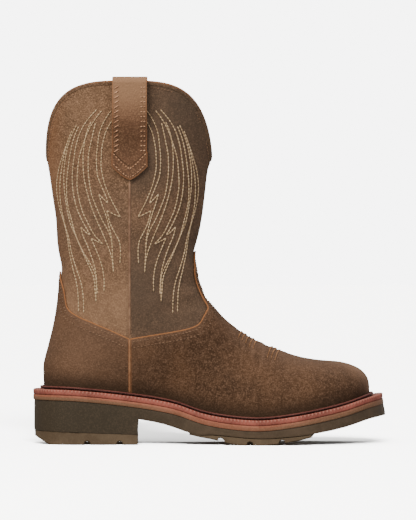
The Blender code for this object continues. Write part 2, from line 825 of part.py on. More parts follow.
def make_side_seam(name, side, tree, surface):
    """The raised piping from the strap's point down to the overlay's edge."""
    top = COLLAR_HEIGHT - STRAP_DROP - 4 * GAP
    low = edge_height(REAR_COLUMNS) + 6 * GAP
    sections = []
    for i in range(PIPING_STATIONS + 1):
        z = mix(top, low, i / PIPING_STATIONS)
        half, crown = PIPING_WIDTH / 2, PIPING_CROWN * PIPING_WIDTH
        reach = [wall_reach(tree, SEAM_PLACE + dx, z, side)[0] for dx in (-half, 0.0, half)]
        base = max(reach) + 2 * GAP
        rows = ((-half, 0.0), (-crown, PIPING_HEIGHT), (crown, PIPING_HEIGHT), (half, 0.0))
        sections.append([Vector((SEAM_PLACE + dx, side * (base + dy), z)) for dx, dy in rows])
    finish(name, loft_mesh(sections, wrap=False), surface)


def strap_path(tree, side, across):
    """The strap's middle line at a share across its width: up inside, over, down outside."""
    x = SEAM_PLACE + across * STRAP_WIDTH / 2
    half = STRAP_THICKNESS / 2
    wall_top = COLLAR_HEIGHT - BINDING_HEIGHT - 3 * GAP
    spring = COLLAR_HEIGHT - half
    crown = COLLAR_HEIGHT + STRAP_CROWN - half
    end = COLLAR_HEIGHT - STRAP_DROP + STRAP_POINT * abs(across) ** STRAP_POINT_POWER
    inner_end = COLLAR_HEIGHT - STRAP_INNER_DROP
    path = []
    for i in range(STRAP_INNER_ROWS + 1):
        share = i / STRAP_INNER_ROWS
        z = mix(inner_end, spring, share)
        reach = wall_reach(tree, x, min(z, wall_top), side)[1]
        path.append((reach - half - 2 * GAP - BINDING_WIDTH / 3 * ease(0.2, 1.0, share), z))
    wall = wall_reach(tree, x, wall_top, side)[0]
    outer_start = wall + half + STRAP_STANDOFF * STRAP_TOP_STANDOFF
    middle, span = (path[-1][0] + outer_start) / 2, (outer_start - path[-1][0]) / 2
    for i in range(1, STRAP_TURN_ROWS):
        turn = math.pi * i / STRAP_TURN_ROWS
        path.append((middle - span * math.cos(turn), mix(spring, crown, math.sin(turn))))
    for i in range(STRAP_OUTER_ROWS + 1):
        share = i / STRAP_OUTER_ROWS
        z = mix(spring, end, share)
        reach = wall_reach(tree, x, min(z, wall_top), side)[0]
        rise = mix(STRAP_TOP_STANDOFF, 1.0, ease(0.0, 0.3, share))
        stand = STRAP_STANDOFF * rise * (1 - ease(0.35, 0.72, share))
        path.append((reach + half + 2 * GAP + stand, z))
    return [Vector((x, side * y, z)) for y, z in path]


def make_strap(name, side, tree, surface):
    steps = [2 * j / STRAP_COLUMNS - 1 for j in range(STRAP_COLUMNS + 1)]
    paths = [strap_path(tree, side, across) for across in steps]
    sections = []
    for i in range(len(paths[0])):
        front, back = [], []
        for path in paths:
            along = path[min(i + 1, len(path) - 1)] - path[max(i - 1, 0)]
            out = along.cross(Vector((1, 0, 0))).normalized() * (STRAP_THICKNESS / 2)
            front.append(path[i] + out)
            back.append(path[i] - out)
        sections.append(front + back[::-1])
    finish(name, loft_mesh(sections, wrap=False), surface)


def make_surfaces():
    made = {}
    for name, row in SURFACES.items():
        material = bpy.data.materials.new(name)
        material.use_nodes = True
        shader = material.node_tree.nodes["Principled BSDF"]
        shader.inputs["Base Color"].default_value = (*row.colour, 1.0)
        shader.inputs["Roughness"].default_value = row.roughness
        shader.inputs["Metallic"].default_value = row.metallic
        material.diffuse_color = (*row.colour, 1.0)
        made[name] = material
    return made


def main():
    for old in list(bpy.data.objects):
        bpy.data.objects.remove(old)
    surfaces = make_surfaces()
    make_outsole(surfaces["dark_rubber"])
    make_heel_tread(surfaces["tread_rubber"])
    make_forefoot_tread(surfaces["tread_rubber"])
    make_midsole(surfaces["salmon_rubber"])
    make_welt(surfaces["red_rubber"])

    grid = upper_grid()
    normals = grid_normals(grid)
    make_bead(grid, normals, surfaces["burgundy_rubber"])
    make_insole(surfaces["insole_leather"])
    tree = make_upper(grid, normals, surfaces["oiled_leather"])
    around, last = len(grid), REAR_COLUMNS + FRONT_COLUMNS
    medial_seam = around - REAR_COLUMNS
    make_overlay("vamp", grid, normals, range(REAR_COLUMNS, medial_seam + 1),
                 surfaces["oiled_leather"])
    make_overlay("heel_counter", grid, normals, range(-REAR_COLUMNS, REAR_COLUMNS + 1),
                 surfaces["oiled_leather"])
    make_binding(grid, normals, surfaces["binding_leather"])
    for side_name, side in SIDES:
        make_side_seam("side_seam_" + side_name, side, tree, surfaces["binding_leather"])
        make_strap("pull_strap_" + side_name, side, tree, surfaces["strap_leather"])


main()
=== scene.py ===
# %% [markdown]
# A pull-on western work boot in distressed, oiled leather on a red and salmon rubber sole.
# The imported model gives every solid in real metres. This script dresses it: the leather and
# the sole layers are drawn again on the same shapes, far finer, and sewn with real stitches.
# The shapes are drawn from the part's own sizes, so each piece lies where its solid lies.

# %% Load the frame
import math

import bmesh
import bpy
import numpy as np
from mathutils import Matrix, Vector
from mathutils.bvhtree import BVHTree


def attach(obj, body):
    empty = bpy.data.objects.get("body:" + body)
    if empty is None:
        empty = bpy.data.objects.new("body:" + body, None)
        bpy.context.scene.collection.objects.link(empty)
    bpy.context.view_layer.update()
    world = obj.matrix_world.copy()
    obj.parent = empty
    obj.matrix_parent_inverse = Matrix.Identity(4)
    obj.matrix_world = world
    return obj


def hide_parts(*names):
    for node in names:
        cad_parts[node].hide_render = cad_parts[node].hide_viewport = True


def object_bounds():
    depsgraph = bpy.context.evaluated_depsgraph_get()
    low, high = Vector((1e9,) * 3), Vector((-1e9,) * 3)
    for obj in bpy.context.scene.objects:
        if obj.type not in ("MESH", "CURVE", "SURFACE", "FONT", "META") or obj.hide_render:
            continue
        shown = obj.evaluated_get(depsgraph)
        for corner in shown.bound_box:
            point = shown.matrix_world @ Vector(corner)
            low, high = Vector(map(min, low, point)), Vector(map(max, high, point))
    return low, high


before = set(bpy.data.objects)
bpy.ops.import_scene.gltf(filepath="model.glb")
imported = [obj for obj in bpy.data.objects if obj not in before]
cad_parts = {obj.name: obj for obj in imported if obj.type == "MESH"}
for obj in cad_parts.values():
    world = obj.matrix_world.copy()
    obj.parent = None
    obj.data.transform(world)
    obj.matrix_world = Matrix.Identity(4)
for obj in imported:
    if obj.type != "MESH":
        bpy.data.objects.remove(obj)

CAD_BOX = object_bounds()
print("CAD box", [[round(value, 4) for value in corner] for corner in CAD_BOX])

# %% [markdown]
# Smooth curves through a few measured places shape everything on a boot. A table of places
# and values becomes a function here. It takes whole numpy arrays at once, because the finest
# pieces move tens of thousands of vertices.

# %% Curves and blends
def curve(*rows):
    """A smooth curve through (place, value) rows, held level past both ends."""
    keys, values = np.array(rows, float).T
    count = len(keys)
    after, before = np.minimum(np.arange(count) + 1, count - 1), np.maximum(np.arange(count) - 1, 0)
    slopes = (values[after] - values[before]) / (keys[after] - keys[before])

    def at(place):
        place = np.clip(place, keys[0], keys[-1])
        low = np.clip(np.searchsorted(keys, place, side="right") - 1, 0, count - 2)
        span = keys[low + 1] - keys[low]
        t = (place - keys[low]) / span
        rise = values[low + 1] - values[low]
        near, far = slopes[low] * span, slopes[low + 1] * span
        return (values[low] + t * near + t ** 2 * (3 * rise - 2 * near - far)
                + t ** 3 * (near + far - 2 * rise))

    return at


def ease(low, high, at):
    """0 below low, 1 above high and a smooth step between."""
    t = np.clip((at - low) / (high - low), 0.0, 1.0)
    return t * t * (3 - 2 * t)


def mix(a, b, share):
    return a + (b - a) * share


def round_end(share, power):
    """Half width left at a share of the way to a rounded end."""
    share = np.clip(share, 0.0, 1.0)
    return (1 - share ** power) ** (1 / power)


def bump(distance, width):
    """A soft hump, 1 on its line and gone at about twice its width."""
    return np.exp(-(distance / width) ** 2)


# %% [markdown]
# The sole's sizes and outline. A cobbler reads them off the last: the length and ball width,
# how high the heel and ball sit, and how far the toe springs up from the floor.

# %% The sole's shape
SOLE_LENGTH, BALL_WIDTH, HEEL_LENGTH = 0.3100, 0.1190, 0.0930
HEEL_SEAT, BALL_SEAT, TOE_SPRING = 0.0516, 0.0248, 0.0200
BEAD_HEIGHT, BEAD_WIDTH = 0.0026, 0.0028
WELT_THICKNESS, MIDSOLE_THICKNESS, OUTSOLE_DEPTH = 0.0048, 0.0040, 0.0100
OUTSOLE_INSET, WELT_STRIP = 0.0008, 0.0220
HEEL_TREAD_THICKNESS, TREAD_FALL = 0.0106, 0.30
GAP, LAYER_GAP = 0.0003, 0.0006
ORIGIN_X = 0.675 * HEEL_LENGTH
HEEL_ROUND_END, HEEL_ROUND_POWER = 0.140, 2.15
TOE_ROUND_START, TOE_ROUND_POWER = 0.850, 2.8
TOE_SKEW, SKEW_START = 0.0900, 0.55
WELT_TOP = BEAD_HEIGHT
WELT_UNDER = WELT_TOP + WELT_THICKNESS
MIDSOLE_TOP = WELT_UNDER + LAYER_GAP
MIDSOLE_UNDER = MIDSOLE_TOP + MIDSOLE_THICKNESS
OUTSOLE_TOP = MIDSOLE_UNDER + GAP

lateral_width = curve((0.00, 0.348), (0.15, 0.352), (0.28, 0.350), (0.40, 0.362), (0.50, 0.400),
                      (0.60, 0.455), (0.68, 0.490), (0.76, 0.499), (0.84, 0.484), (0.92, 0.448),
                      (1.00, 0.400))
medial_width = curve((0.00, 0.348), (0.15, 0.350), (0.28, 0.342), (0.40, 0.338), (0.50, 0.352),
                     (0.60, 0.412), (0.68, 0.474), (0.76, 0.501), (0.84, 0.503), (0.92, 0.484),
                     (1.00, 0.446))
heel_rise = curve((0.000, 1.00), (0.120, 0.97), (0.277, 0.79), (0.400, 0.55), (0.490, 0.21),
                  (0.571, 0.05), (0.652, 0.00), (0.732, 0.00))
toe_rise = curve((0.571, 0.00), (0.652, 0.00), (0.732, 0.13), (0.810, 0.35), (0.894, 0.66),
                 (0.963, 1.00), (1.000, 1.12))
outsole_depth = curve((0.300, 0.98), (0.360, 1.02), (0.420, 1.15), (0.465, 1.10), (0.520, 0.68),
                      (0.620, 0.60), (0.720, 0.72), (0.800, 0.86), (0.860, 0.92), (1.000, 0.95))


def closing(along):
    """How far the outline closes in at the round heel and the square toe."""
    heel = round_end(1 - along / HEEL_ROUND_END, HEEL_ROUND_POWER)
    toe = round_end((along - TOE_ROUND_START) / (1 - TOE_ROUND_START), TOE_ROUND_POWER)
    return heel * toe


def half_width(side, along):
    return np.where(side < 0, lateral_width(along), medial_width(along)) * BALL_WIDTH


def skewed(x, y):
    """The forefoot's medial side reaches further forward than its lateral side."""
    return x + TOE_SKEW * y * ease(SKEW_START, 1.0, x / SOLE_LENGTH)


def sole_line(x):
    """Height of the line where the bead meets the upper."""
    along = x / SOLE_LENGTH
    return BALL_SEAT + (HEEL_SEAT - BALL_SEAT) * heel_rise(along) + TOE_SPRING * toe_rise(along)


def outline_point(along, side, inset):
    """The sole's outline at shares of its length, moved in by an inset all round."""
    half = closing(along) * (half_width(side, along) - inset)
    x = mix(inset, SOLE_LENGTH - inset, along)
    return skewed(x, side * half), side * half


print("sole line at heel, ball and toe",
      [round(float(sole_line(x)), 4) for x in (0.0, 0.19, SOLE_LENGTH)])

# %% [markdown]
# The upper's sizes. Its front line runs up the foot and the shaft, its back line has a hollow
# over the heel, and its collar dips at the front and back and rises in a scallop at each side.

# %% The upper's shape
WELT_SIDE_LEDGE, WELT_BACK_LEDGE, WELT_TOE_LEDGE = 0.0075, 0.0095, 0.0117
INSTEP_HEIGHT, COLLAR_HEIGHT, SCALLOP_DEPTH = 0.0865, 0.3226, 0.0856
SHAFT_WIDTH, SHAFT_DEPTH, SHAFT_CENTRE, SHAFT_FLARE = 0.0920, 0.1416, 0.0840, 0.0055
ANKLE_HOLLOW, SEAM_PLACE, WALL, OVERLAY = 0.0142, 0.0860, 0.0020, 0.0016
BINDING_HEIGHT, BINDING_WIDTH = 0.0030, 0.0038
WIDEST_SHARE, SECTION_POWER, OVAL_POWER = 0.10, 2.70, 2.10
SCALLOP_POWER, SCALLOP_ROUND, RISE_START, RING_POWER = 1.65, 0.13, 0.35, 1.40
REAR, FRONT, FOOT_COLUMNS_END = 8, 14, 0.60
AROUND, LEVEL_POWER, OVERHANG_SLOPE = 2 * (REAR + FRONT), 1.5, 4
LINE_SAMPLES, FOOT_SAMPLES, HALVINGS, LEVEL_LIMITS = 12, 400, 24, (0.05, 0.95)
SHAFT_HEIGHTS, SHAFT_LENGTHS = (0.10, 0.30), (0.51, 0.70)
UPPER_LENGTH = SOLE_LENGTH - WELT_BACK_LEDGE - WELT_TOE_LEDGE
DIP_HEIGHT = COLLAR_HEIGHT - BINDING_HEIGHT - SCALLOP_DEPTH

VAMP_LINE = ((1.000, 0.000), (0.999, 0.130), (0.988, 0.214), (0.964, 0.284), (0.916, 0.341),
             (0.850, 0.367), (0.801, 0.393), (0.763, 0.424), (0.727, 0.464), (0.677, 0.526),
             (0.628, 0.600), (0.579, 0.694), (0.554, 0.757), (0.530, 0.830), (0.509, 0.900),
             (0.493, 1.000))
SHAFT_LINE = ((0.4541, 0.090), (0.4371, 0.181), (0.4287, 0.272), (0.4379, 0.363),
              (0.4514, 0.477), (0.4706, 0.613), (0.4843, 0.750), (0.5013, 0.909),
              (0.5220, 1.000))
back_hollow = curve((0.000, 0.00), (0.090, -0.04), (0.128, 0.00), (0.205, 0.25), (0.282, 0.50),
                    (0.359, 0.71), (0.436, 0.87), (0.513, 0.96), (0.564, 1.00), (0.615, 0.92),
                    (0.692, 0.83), (0.769, 0.75), (0.846, 0.58), (1.000, 0.24))
shaft_width = curve((0.00, 0.960), (0.29, 0.960), (0.38, 0.972), (0.45, 0.975), (0.60, 1.000),
                    (1.00, 1.000))
counter_edge = curve((0.00, 0.474), (0.12, 0.456), (0.24, 0.425), (0.32, 0.380), (0.48, 0.354),
                     (0.63, 0.338), (0.82, 0.316), (1.00, 0.292))
vamp_edge = curve((0.00, 0.292), (0.10, 0.302), (0.22, 0.312), (0.33, 0.322), (0.41, 0.334),
                  (0.49, 0.354), (0.56, 0.367), (0.64, 0.381), (0.69, 0.406), (0.715, 0.437),
                  (0.735, 0.470), (0.80, 0.487), (0.86, 0.504), (0.93, 0.519), (1.00, 0.530))


def feather(x):
    """Height of the upper's lower edge, just above the welt and hidden by the bead."""
    return sole_line(x) - WELT_TOP + LAYER_GAP


def front_line():
    """The front line as fine samples, with each sample's share of the line's length."""
    low = float(feather(SOLE_LENGTH - WELT_TOE_LEDGE))
    points = [(WELT_BACK_LEDGE + forward * UPPER_LENGTH, low + height * INSTEP_HEIGHT)
              for forward, height in VAMP_LINE]
    points += [(SHAFT_CENTRE + forward * SHAFT_DEPTH, mix(low + INSTEP_HEIGHT, DIP_HEIGHT, height))
               for forward, height in SHAFT_LINE]
    steps = np.linspace(0, len(points) - 1, LINE_SAMPLES * len(points))
    xs = curve(*[(i, x) for i, (x, z) in enumerate(points)])(steps)
    zs = curve(*[(i, z) for i, (x, z) in enumerate(points)])(steps)
    arc = np.concatenate(([0.0], np.cumsum(np.hypot(np.diff(xs), np.diff(zs)))))
    return xs, zs, arc / arc[-1]


FRONT_X, FRONT_Z, FRONT_SHARE = front_line()
VAMP_SAMPLES = int(np.argmin(FRONT_X)) + 1


def front_point(v):
    return np.interp(v, FRONT_SHARE, FRONT_X), np.interp(v, FRONT_SHARE, FRONT_Z)


def back_point(v):
    return (WELT_BACK_LEDGE + ANKLE_HOLLOW * back_hollow(v),
            mix(float(feather(WELT_BACK_LEDGE)), DIP_HEIGHT, v))


def foot_top(x):
    """Height of the foot's front line over a place x, far above the shaft's opening."""
    over = np.interp(x, FRONT_X[:VAMP_SAMPLES][::-1], FRONT_Z[:VAMP_SAMPLES][::-1])
    return over + OVERHANG_SLOPE * np.maximum(FRONT_X.min() - x, 0.0)


print("front line", len(FRONT_X), "samples, dip at", round(DIP_HEIGHT, 4), "m")

# %% [markdown]
# One function gives the whole outer face of the leather. It blends the foot, whose sections
# are wide and flat, into the shaft, whose sections are ovals. A sculpted mesh would look as
# good, but this one is sure to lie on the solid that collides in the simulation.

# %% The leather's outer face
def skin(side, s, v):
    """Points from the back line (s 0) to the front line (s 1), featherline (v 0) to collar."""
    back_x, back_z = back_point(v)
    front_x, front_z = front_point(v)
    x = mix(back_x, front_x, s)
    across = round_end(np.abs(2 * s - 1), 2)
    chord = mix(feather(back_x), feather(front_x), s)
    scallop = np.sqrt((across ** 2 + SCALLOP_ROUND ** 2) / (1 + SCALLOP_ROUND ** 2))
    rise = SCALLOP_DEPTH * (1 - (1 - scallop) ** SCALLOP_POWER)
    level = np.maximum(0.0, (v - RISE_START) / (1 - RISE_START)) ** LEVEL_POWER
    near_sole = (1 - v) ** LEVEL_POWER
    z = mix(back_z, front_z, s) + (feather(x) - chord) * near_sole + rise * level
    end_x = np.where(x < SHAFT_CENTRE, back_x, front_x)
    oval = round_end((x - SHAFT_CENTRE) / (end_x - SHAFT_CENTRE), OVAL_POWER)
    oval = oval * SHAFT_WIDTH / 2 * shaft_width(z / COLLAR_HEIGHT)
    along = (x - back_x) / np.maximum(UPPER_LENGTH, front_x - back_x)
    wide = closing(along) * (half_width(side, along) - WELT_SIDE_LEDGE)
    up = (z - feather(x)) / np.maximum(foot_top(x) - feather(x), GAP)
    up = np.clip((up - WIDEST_SHARE) / (1 - WIDEST_SHARE), 0.0, 1.0)
    foot = wide * np.sqrt(1 - up ** SECTION_POWER)
    shaft = ease(*SHAFT_HEIGHTS, z / COLLAR_HEIGHT) * (1 - ease(*SHAFT_LENGTHS, x / SOLE_LENGTH))
    y = side * mix(foot, oval, shaft)
    forward = skewed(x, y) - SHAFT_FLARE * (1 - s) * ease(DIP_HEIGHT, COLLAR_HEIGHT, z)
    z = z + (feather(forward) - feather(x)) * near_sole
    return np.stack((forward - ORIGIN_X, y, z), axis=-1)


def foot_arc(side):
    """Shares s along the featherline and the distance run at each."""
    shares = 1 - (1 - np.linspace(0.0, 1.0, FOOT_SAMPLES + 1) ** 2) ** 2
    runs = np.linalg.norm(np.diff(skin(side, shares, 0.0 * shares), axis=0), axis=1)
    return shares, np.concatenate(([0.0], np.cumsum(runs)))


ARCS = {side: foot_arc(np.float64(side)) for side in (-1, 1)}


def foot_share(side, column):
    """Share s at the featherline of columns spaced evenly, with column REAR on the seam."""
    shares, arc = ARCS[side]
    back_x, front_x = back_point(0.0)[0], front_point(0.0)[0]
    seam = np.interp((SEAM_PLACE - back_x) / (front_x - back_x), shares, arc)
    place = np.where(column <= REAR, seam * column / REAR,
                     mix(seam, arc[-1], (column - REAR) / FRONT))
    return np.interp(place, arc, shares)


def column_share(side, column, v):
    """Share s of a column at a level, so that one column runs straight down the side seam."""
    back_x, front_x = back_point(v)[0], front_point(v)[0]
    seam = (SEAM_PLACE - back_x) / (front_x - back_x)
    foot = np.where(side < 0, foot_share(-1, column), foot_share(1, column))
    at_seam = np.where(side < 0, foot_share(-1, REAR), foot_share(1, REAR))
    turn = ease(0.0, FOOT_COLUMNS_END, v)
    rear = seam * mix(foot / at_seam, 1 - np.cos(math.pi / 2 * column / REAR), turn)
    front = mix((1 - foot) / (1 - at_seam),
                1 - np.sin(math.pi / 2 * (column - REAR) / FRONT), turn)
    return np.where(column <= REAR, rear, 1 - (1 - seam) * front)


def sided(around):
    """Side and column of a place around the boot: 0 at the back, REAR on the lateral seam."""
    around = np.mod(around, AROUND)
    lateral = around <= AROUND / 2
    return np.where(lateral, -1.0, 1.0), np.where(lateral, around, AROUND - around)


def edge_level(around):
    """Level v at which the counter and vamp end, found by halving."""
    side, column = sided(around)
    height = COLLAR_HEIGHT * np.where(column <= REAR, counter_edge(column / REAR),
                                      vamp_edge((column - REAR) / FRONT))
    low, high = (np.full_like(height, limit) for limit in LEVEL_LIMITS)
    for _ in range(HALVINGS):
        middle = (low + high) / 2
        under = skin(side, column_share(side, column, middle), middle)[..., 2] < height
        low, high = np.where(under, middle, low), np.where(under, high, middle)
    return low


def skin_at(around, v):
    side, column = sided(around)
    return skin(side, column_share(side, column, v), v)


print("featherline is", round(1000 * sum(arc[-1] for _, arc in ARCS.values())), "mm round")

# %% [markdown]
# Boot leather is never smooth. It creases where the toes bend, rolls softly at the ankle and
# rises over the stiff toe cap. Each fold is a soft trough or ridge added along the normal, so
# every layer of leather takes the same folds and none pokes through another.

# %% Folds in the leather
FLEX_FOLDS = (
    # x at the top of the foot, lean back per metre down, half width, depth, reach down
    (0.1215, 0.10, 0.0022, 0.00049, 0.016),
    (0.1290, 0.05, 0.0024, 0.00061, 0.022),
    (0.1372, 0.00, 0.0026, 0.00063, 0.026),
    (0.1460, -0.10, 0.0026, 0.00055, 0.024),
    (0.1545, -0.20, 0.0024, 0.00044, 0.018),
)
SHAFT_FOLDS = (
    # height at the front, slope back per metre, half width, depth, where it fades
    (0.128, 0.30, 0.0070, 0.0011, 0.020),
    (0.145, 0.18, 0.0080, 0.0010, 0.022),
    (0.166, -0.10, 0.0090, 0.0007, 0.018),
)
# How a fold wanders across the foot, and the ridge behind it
WANDER, WANDER_RATE, WANDER_SHIFT = 0.0016, 140, 900
RIDGE_SHARE, RIDGE_OFFSET, FULL_REACH = 0.8, 1.6, 0.4
SHAFT_FOLD_START, SHAFT_FOLD_FADE, SHAFT_FOLD_TURN = 0.030, (-0.005, 0.030), 0.085
SMOOTH_LOW, COLLAR_CALM, CALM_HEIGHTS = 0.012, 0.8, (DIP_HEIGHT - 0.01, COLLAR_HEIGHT - 0.02)
# Gentle waves all over: rates along x, z and y, shift and height
WAVES = ((61, 23, 47, 0.3, 0.00035), (33, 71, 29, 1.7, 0.00030), (113, 59, 97, 2.9, 0.00016),
         (151, 137, 83, 4.1, 0.00012))


def folds(points):
    """How far the leather stands out of its plain shape at points, in metres."""
    x, y, z = points[..., 0], points[..., 1], points[..., 2]
    out = np.zeros_like(x)
    top = foot_top(x + ORIGIN_X)
    for place, lean, half, depth, reach in FLEX_FOLDS:
        under = np.clip(top - z, 0.0, 1.0)
        wander = WANDER * np.sin(y * WANDER_RATE + place * WANDER_SHIFT)
        across = x - place - wander - lean * under
        fade = 1 - ease(reach * FULL_REACH, reach, under)
        ridge = RIDGE_SHARE * bump(across - RIDGE_OFFSET * half, half)
        out += depth * fade * (ridge - bump(across, half))
    for place, lean, half, depth, fade in SHAFT_FOLDS:
        reach = ease(SHAFT_FOLD_FADE[0], fade + SHAFT_FOLD_FADE[1], x - SHAFT_FOLD_START)
        across = z - place - lean * (x - SHAFT_FOLD_TURN)
        out -= depth * reach * bump(across, half)
    for a, b, c, shift, height in WAVES:
        out += height * np.sin(a * x + shift) * np.sin(b * z + 2 * shift) * np.cos(c * y + shift)
    out *= ease(0.0, SMOOTH_LOW, z - sole_line(x + ORIGIN_X))
    return out * (1 - COLLAR_CALM * ease(*CALM_HEIGHTS, z))


# %% [markdown]
# Every leather piece starts as a flat grid, as it does on a cutting table. Each vertex is
# then moved onto the boot and pushed out by its folds. The rows of the grid are even, so the
# mesh shades cleanly. Numbers kept on the vertices tell the material where the edges are.

# %% Draping a grid on the boot
def drape(across, up, place, marks=None):
    """A grid of faces with each vertex at place(a, b), where a and b run from 0 to 1."""
    bm = bmesh.new()
    bmesh.ops.create_grid(bm, x_segments=across, y_segments=up, size=1.0)
    flat = np.array([v.co for v in bm.verts])
    a, b = (flat[:, 0] + 1) / 2, (flat[:, 1] + 1) / 2
    points = place(a, b)
    values = marks(a, b, points) if marks else {}
    layers = {key: bm.verts.layers.float.new(key) for key in values}
    for i, vert in enumerate(bm.verts):
        vert.co = points[i]
        for key, layer in layers.items():
            vert[layer] = values[key][i]
    return bm


NORMAL_STEP, RIM_DEPTHS = 0.16, (0.3, 0.7)
WELD, SHARP_ANGLE = 0.000002, math.radians(50)


def lifted(around, v, lift):
    """The folded leather face at places around the boot, moved out by lift in metres."""
    points = skin_at(around, v)
    run = skin_at(around + NORMAL_STEP, v) - skin_at(around - NORMAL_STEP, v)
    rise = skin_at(around, np.minimum(v + NORMAL_STEP / 20, 1.0))
    rise -= skin_at(around, np.maximum(v - NORMAL_STEP / 20, 0.0))
    normal = np.cross(run, rise)
    normal /= np.maximum(np.linalg.norm(normal, axis=-1, keepdims=True), 1e-12)
    return points + normal * (folds(points) + lift)[..., None]


def shell(across, up, place, thickness, marks, inner_rows, skive=False):
    """A closed shell of leather: rows up its face, over the cut edge and down its inside."""
    outer, inner = np.linspace(0.0, 1.0, up + 1), np.linspace(1.0, 0.0, inner_rows + 1)
    share = np.concatenate((outer, (1.0, 1.0), inner, (0.0,)))
    depth = np.concatenate((0.0 * outer, RIM_DEPTHS, 0.0 * inner + 1.0, (0.0,)))
    last = len(share) - 1

    def at(a, b):
        row = np.round(b * last).astype(int)
        thin = np.clip(np.minimum(a, 1 - a) * across / 2, 0.0, 1.0) if skive else 1.0
        return place(a, share[row], -thickness * depth[row] * thin)

    def on_face(a, b, points):
        return marks(a, share[np.round(b * last).astype(int)], points)

    return drape(across, last, at, on_face)


def piece(name, bm, surface, body="root", stands_for=(), closed=True):
    """Finish a bmesh as an object that rides on the boot."""
    if closed:
        bmesh.ops.remove_doubles(bm, verts=bm.verts, dist=WELD)
        bmesh.ops.recalc_face_normals(bm, faces=bm.faces)
    mesh = bpy.data.meshes.new(name)
    bm.to_mesh(mesh)
    bm.free()
    mesh.materials.append(surface)
    mesh.shade_smooth()
    mesh.set_sharp_from_angle(angle=SHARP_ANGLE)
    made = bpy.data.objects.new(name, mesh)
    bpy.context.scene.collection.objects.link(made)
    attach(made, body)
    if stands_for:
        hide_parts(*stands_for)
    print(name, len(mesh.polygons), "faces")


# %% [markdown]
# Materials share a few small helpers. Colours are written as they look on a screen, in hex,
# and one function turns them into the linear values that the renderer wants. Pattern sizes
# are given in millimetres.

# %% Helpers for materials
def linear(code):
    """A hex colour as linear red, green, blue and alpha."""
    parts = [int(code[i:i + 2], 16) / 255 for i in (1, 3, 5)]
    parts = [c / 12.92 if c <= 0.04045 else ((c + 0.055) / 1.055) ** 2.4 for c in parts]
    return (*parts, 1.0)


def per(mm):
    """The texture scale whose features are about this many millimetres across."""
    return 1000.0 / mm


def add(tree, kind, links=None, values=None, **settings):
    """Add a node with its settings, its plain values and the links that feed it."""
    node = tree.nodes.new("ShaderNode" + kind)
    for key, value in settings.items():
        setattr(node, key, value)
    for key, value in (values or {}).items():
        node.inputs[key].default_value = value
    for key, source in (links or {}).items():
        tree.links.new(source, node.inputs[key])
    return node


def blank(name):
    """A new material with its tree, its shader and the object's own coordinates."""
    material = bpy.data.materials.new(name)
    material.use_nodes = True
    tree = material.node_tree
    shader = tree.nodes["Principled BSDF"]
    place = add(tree, "TexCoord").outputs["Object"]
    return material, tree, shader, place


def noise(tree, place, mm, detail=3.0, rough=0.55):
    return add(tree, "TexNoise", {"Vector": place},
               {"Scale": per(mm), "Detail": detail, "Roughness": rough}).outputs["Fac"]


def ramp(tree, source, *stops):
    """Map a number through (place, value) stops to another number or a colour."""
    node = add(tree, "ValToRGB", {"Fac": source})
    rows = node.color_ramp.elements
    while len(rows) < len(stops):
        rows.new(0.5)
    for row, (at, value) in zip(rows, stops):
        row.position = at
        row.color = linear(value) if isinstance(value, str) else (value, value, value, 1.0)
    return node.outputs["Color"]


def blend(tree, share, low, high, mode="MIX"):
    """Mix two colours, each a hex code or a link, by a share that is a number or a link."""
    node = add(tree, "Mix", data_type="RGBA", blend_type=mode)
    for socket, value in ((node.inputs[0], share), (node.inputs[6], low), (node.inputs[7], high)):
        if isinstance(value, str):
            socket.default_value = linear(value)
        elif isinstance(value, (int, float)):
            socket.default_value = value
        else:
            tree.links.new(value, socket)
    return node.outputs[2]


def mark(tree, name):
    """A number kept on the vertices."""
    return add(tree, "Attribute", attribute_name=name).outputs["Fac"]


def relief(tree, shader, layers):
    """Stack bumps, each a height source and its depth in millimetres, and feed the shader."""
    before = None
    for source, depth in layers:
        links = {"Height": source}
        if before is not None:
            links["Normal"] = before
        values = {"Strength": 1.0, "Distance": depth / 1000}
        before = add(tree, "Bump", links, values).outputs["Normal"]
    tree.links.new(before, shader.inputs["Normal"])


# %% [markdown]
# The upper is cowhide that was waxed and buffed, so that it marks pale wherever it bends or
# rubs. That shows as cloudy patches a few centimetres wide, finer mottling, and a short nap
# under the wax that catches the light in specks. Real specks are finer than a pixel here, so
# they are drawn a millimetre wide to show. Raw cut edges show the orange tan inside. Marks on
# the vertices say where the edges and worn places are, and where a painted highlight and
# painted shade go.

# %% Distressed oiled leather
def distressed_leather(name, dark, middle, light, worn, raw, shade):
    material, tree, shader, place = blank(name)
    clouds = noise(tree, place, 38, 2.0)
    mottle = noise(tree, place, 5, 3.0, 0.6)
    specks = noise(tree, place, 1.3, 1.0, 0.7)
    base = blend(tree, ramp(tree, clouds, (0.38, 0.25), (0.62, 0.95)), dark, middle)
    base = blend(tree, ramp(tree, mottle, (0.44, 0.0), (0.64, 0.45)), base, light)
    base = blend(tree, ramp(tree, specks, (0.50, 0.0), (0.70, 0.55)), base, worn)
    base = blend(tree, ramp(tree, specks, (0.32, 0.55), (0.48, 0.0)), base, dark)
    # Marked wear, together with the painted highlights on the foot's top, the fold crests and the
    # strap's top.
    base = blend(tree, mark(tree, "wear"), base, worn)
    # Darker dye on some panels, with painted shade near the sole and beside the side seams.
    base = blend(tree, mark(tree, "shade"), base, shade)
    base = blend(tree, mark(tree, "raw"), base, raw)
    tree.links.new(base, shader.inputs["Base Color"])
    tree.links.new(ramp(tree, mottle, (0.30, 0.70), (0.70, 0.85)), shader.inputs["Roughness"])
    pores = add(tree, "TexVoronoi", {"Vector": place}, {"Scale": per(1.6)}).outputs["Distance"]
    relief(tree, shader, ((noise(tree, place, 6, 3.0), 0.5), (pores, 0.22), (specks, 0.30)))
    shader.inputs["Specular IOR Level"].default_value = 0.14
    return material


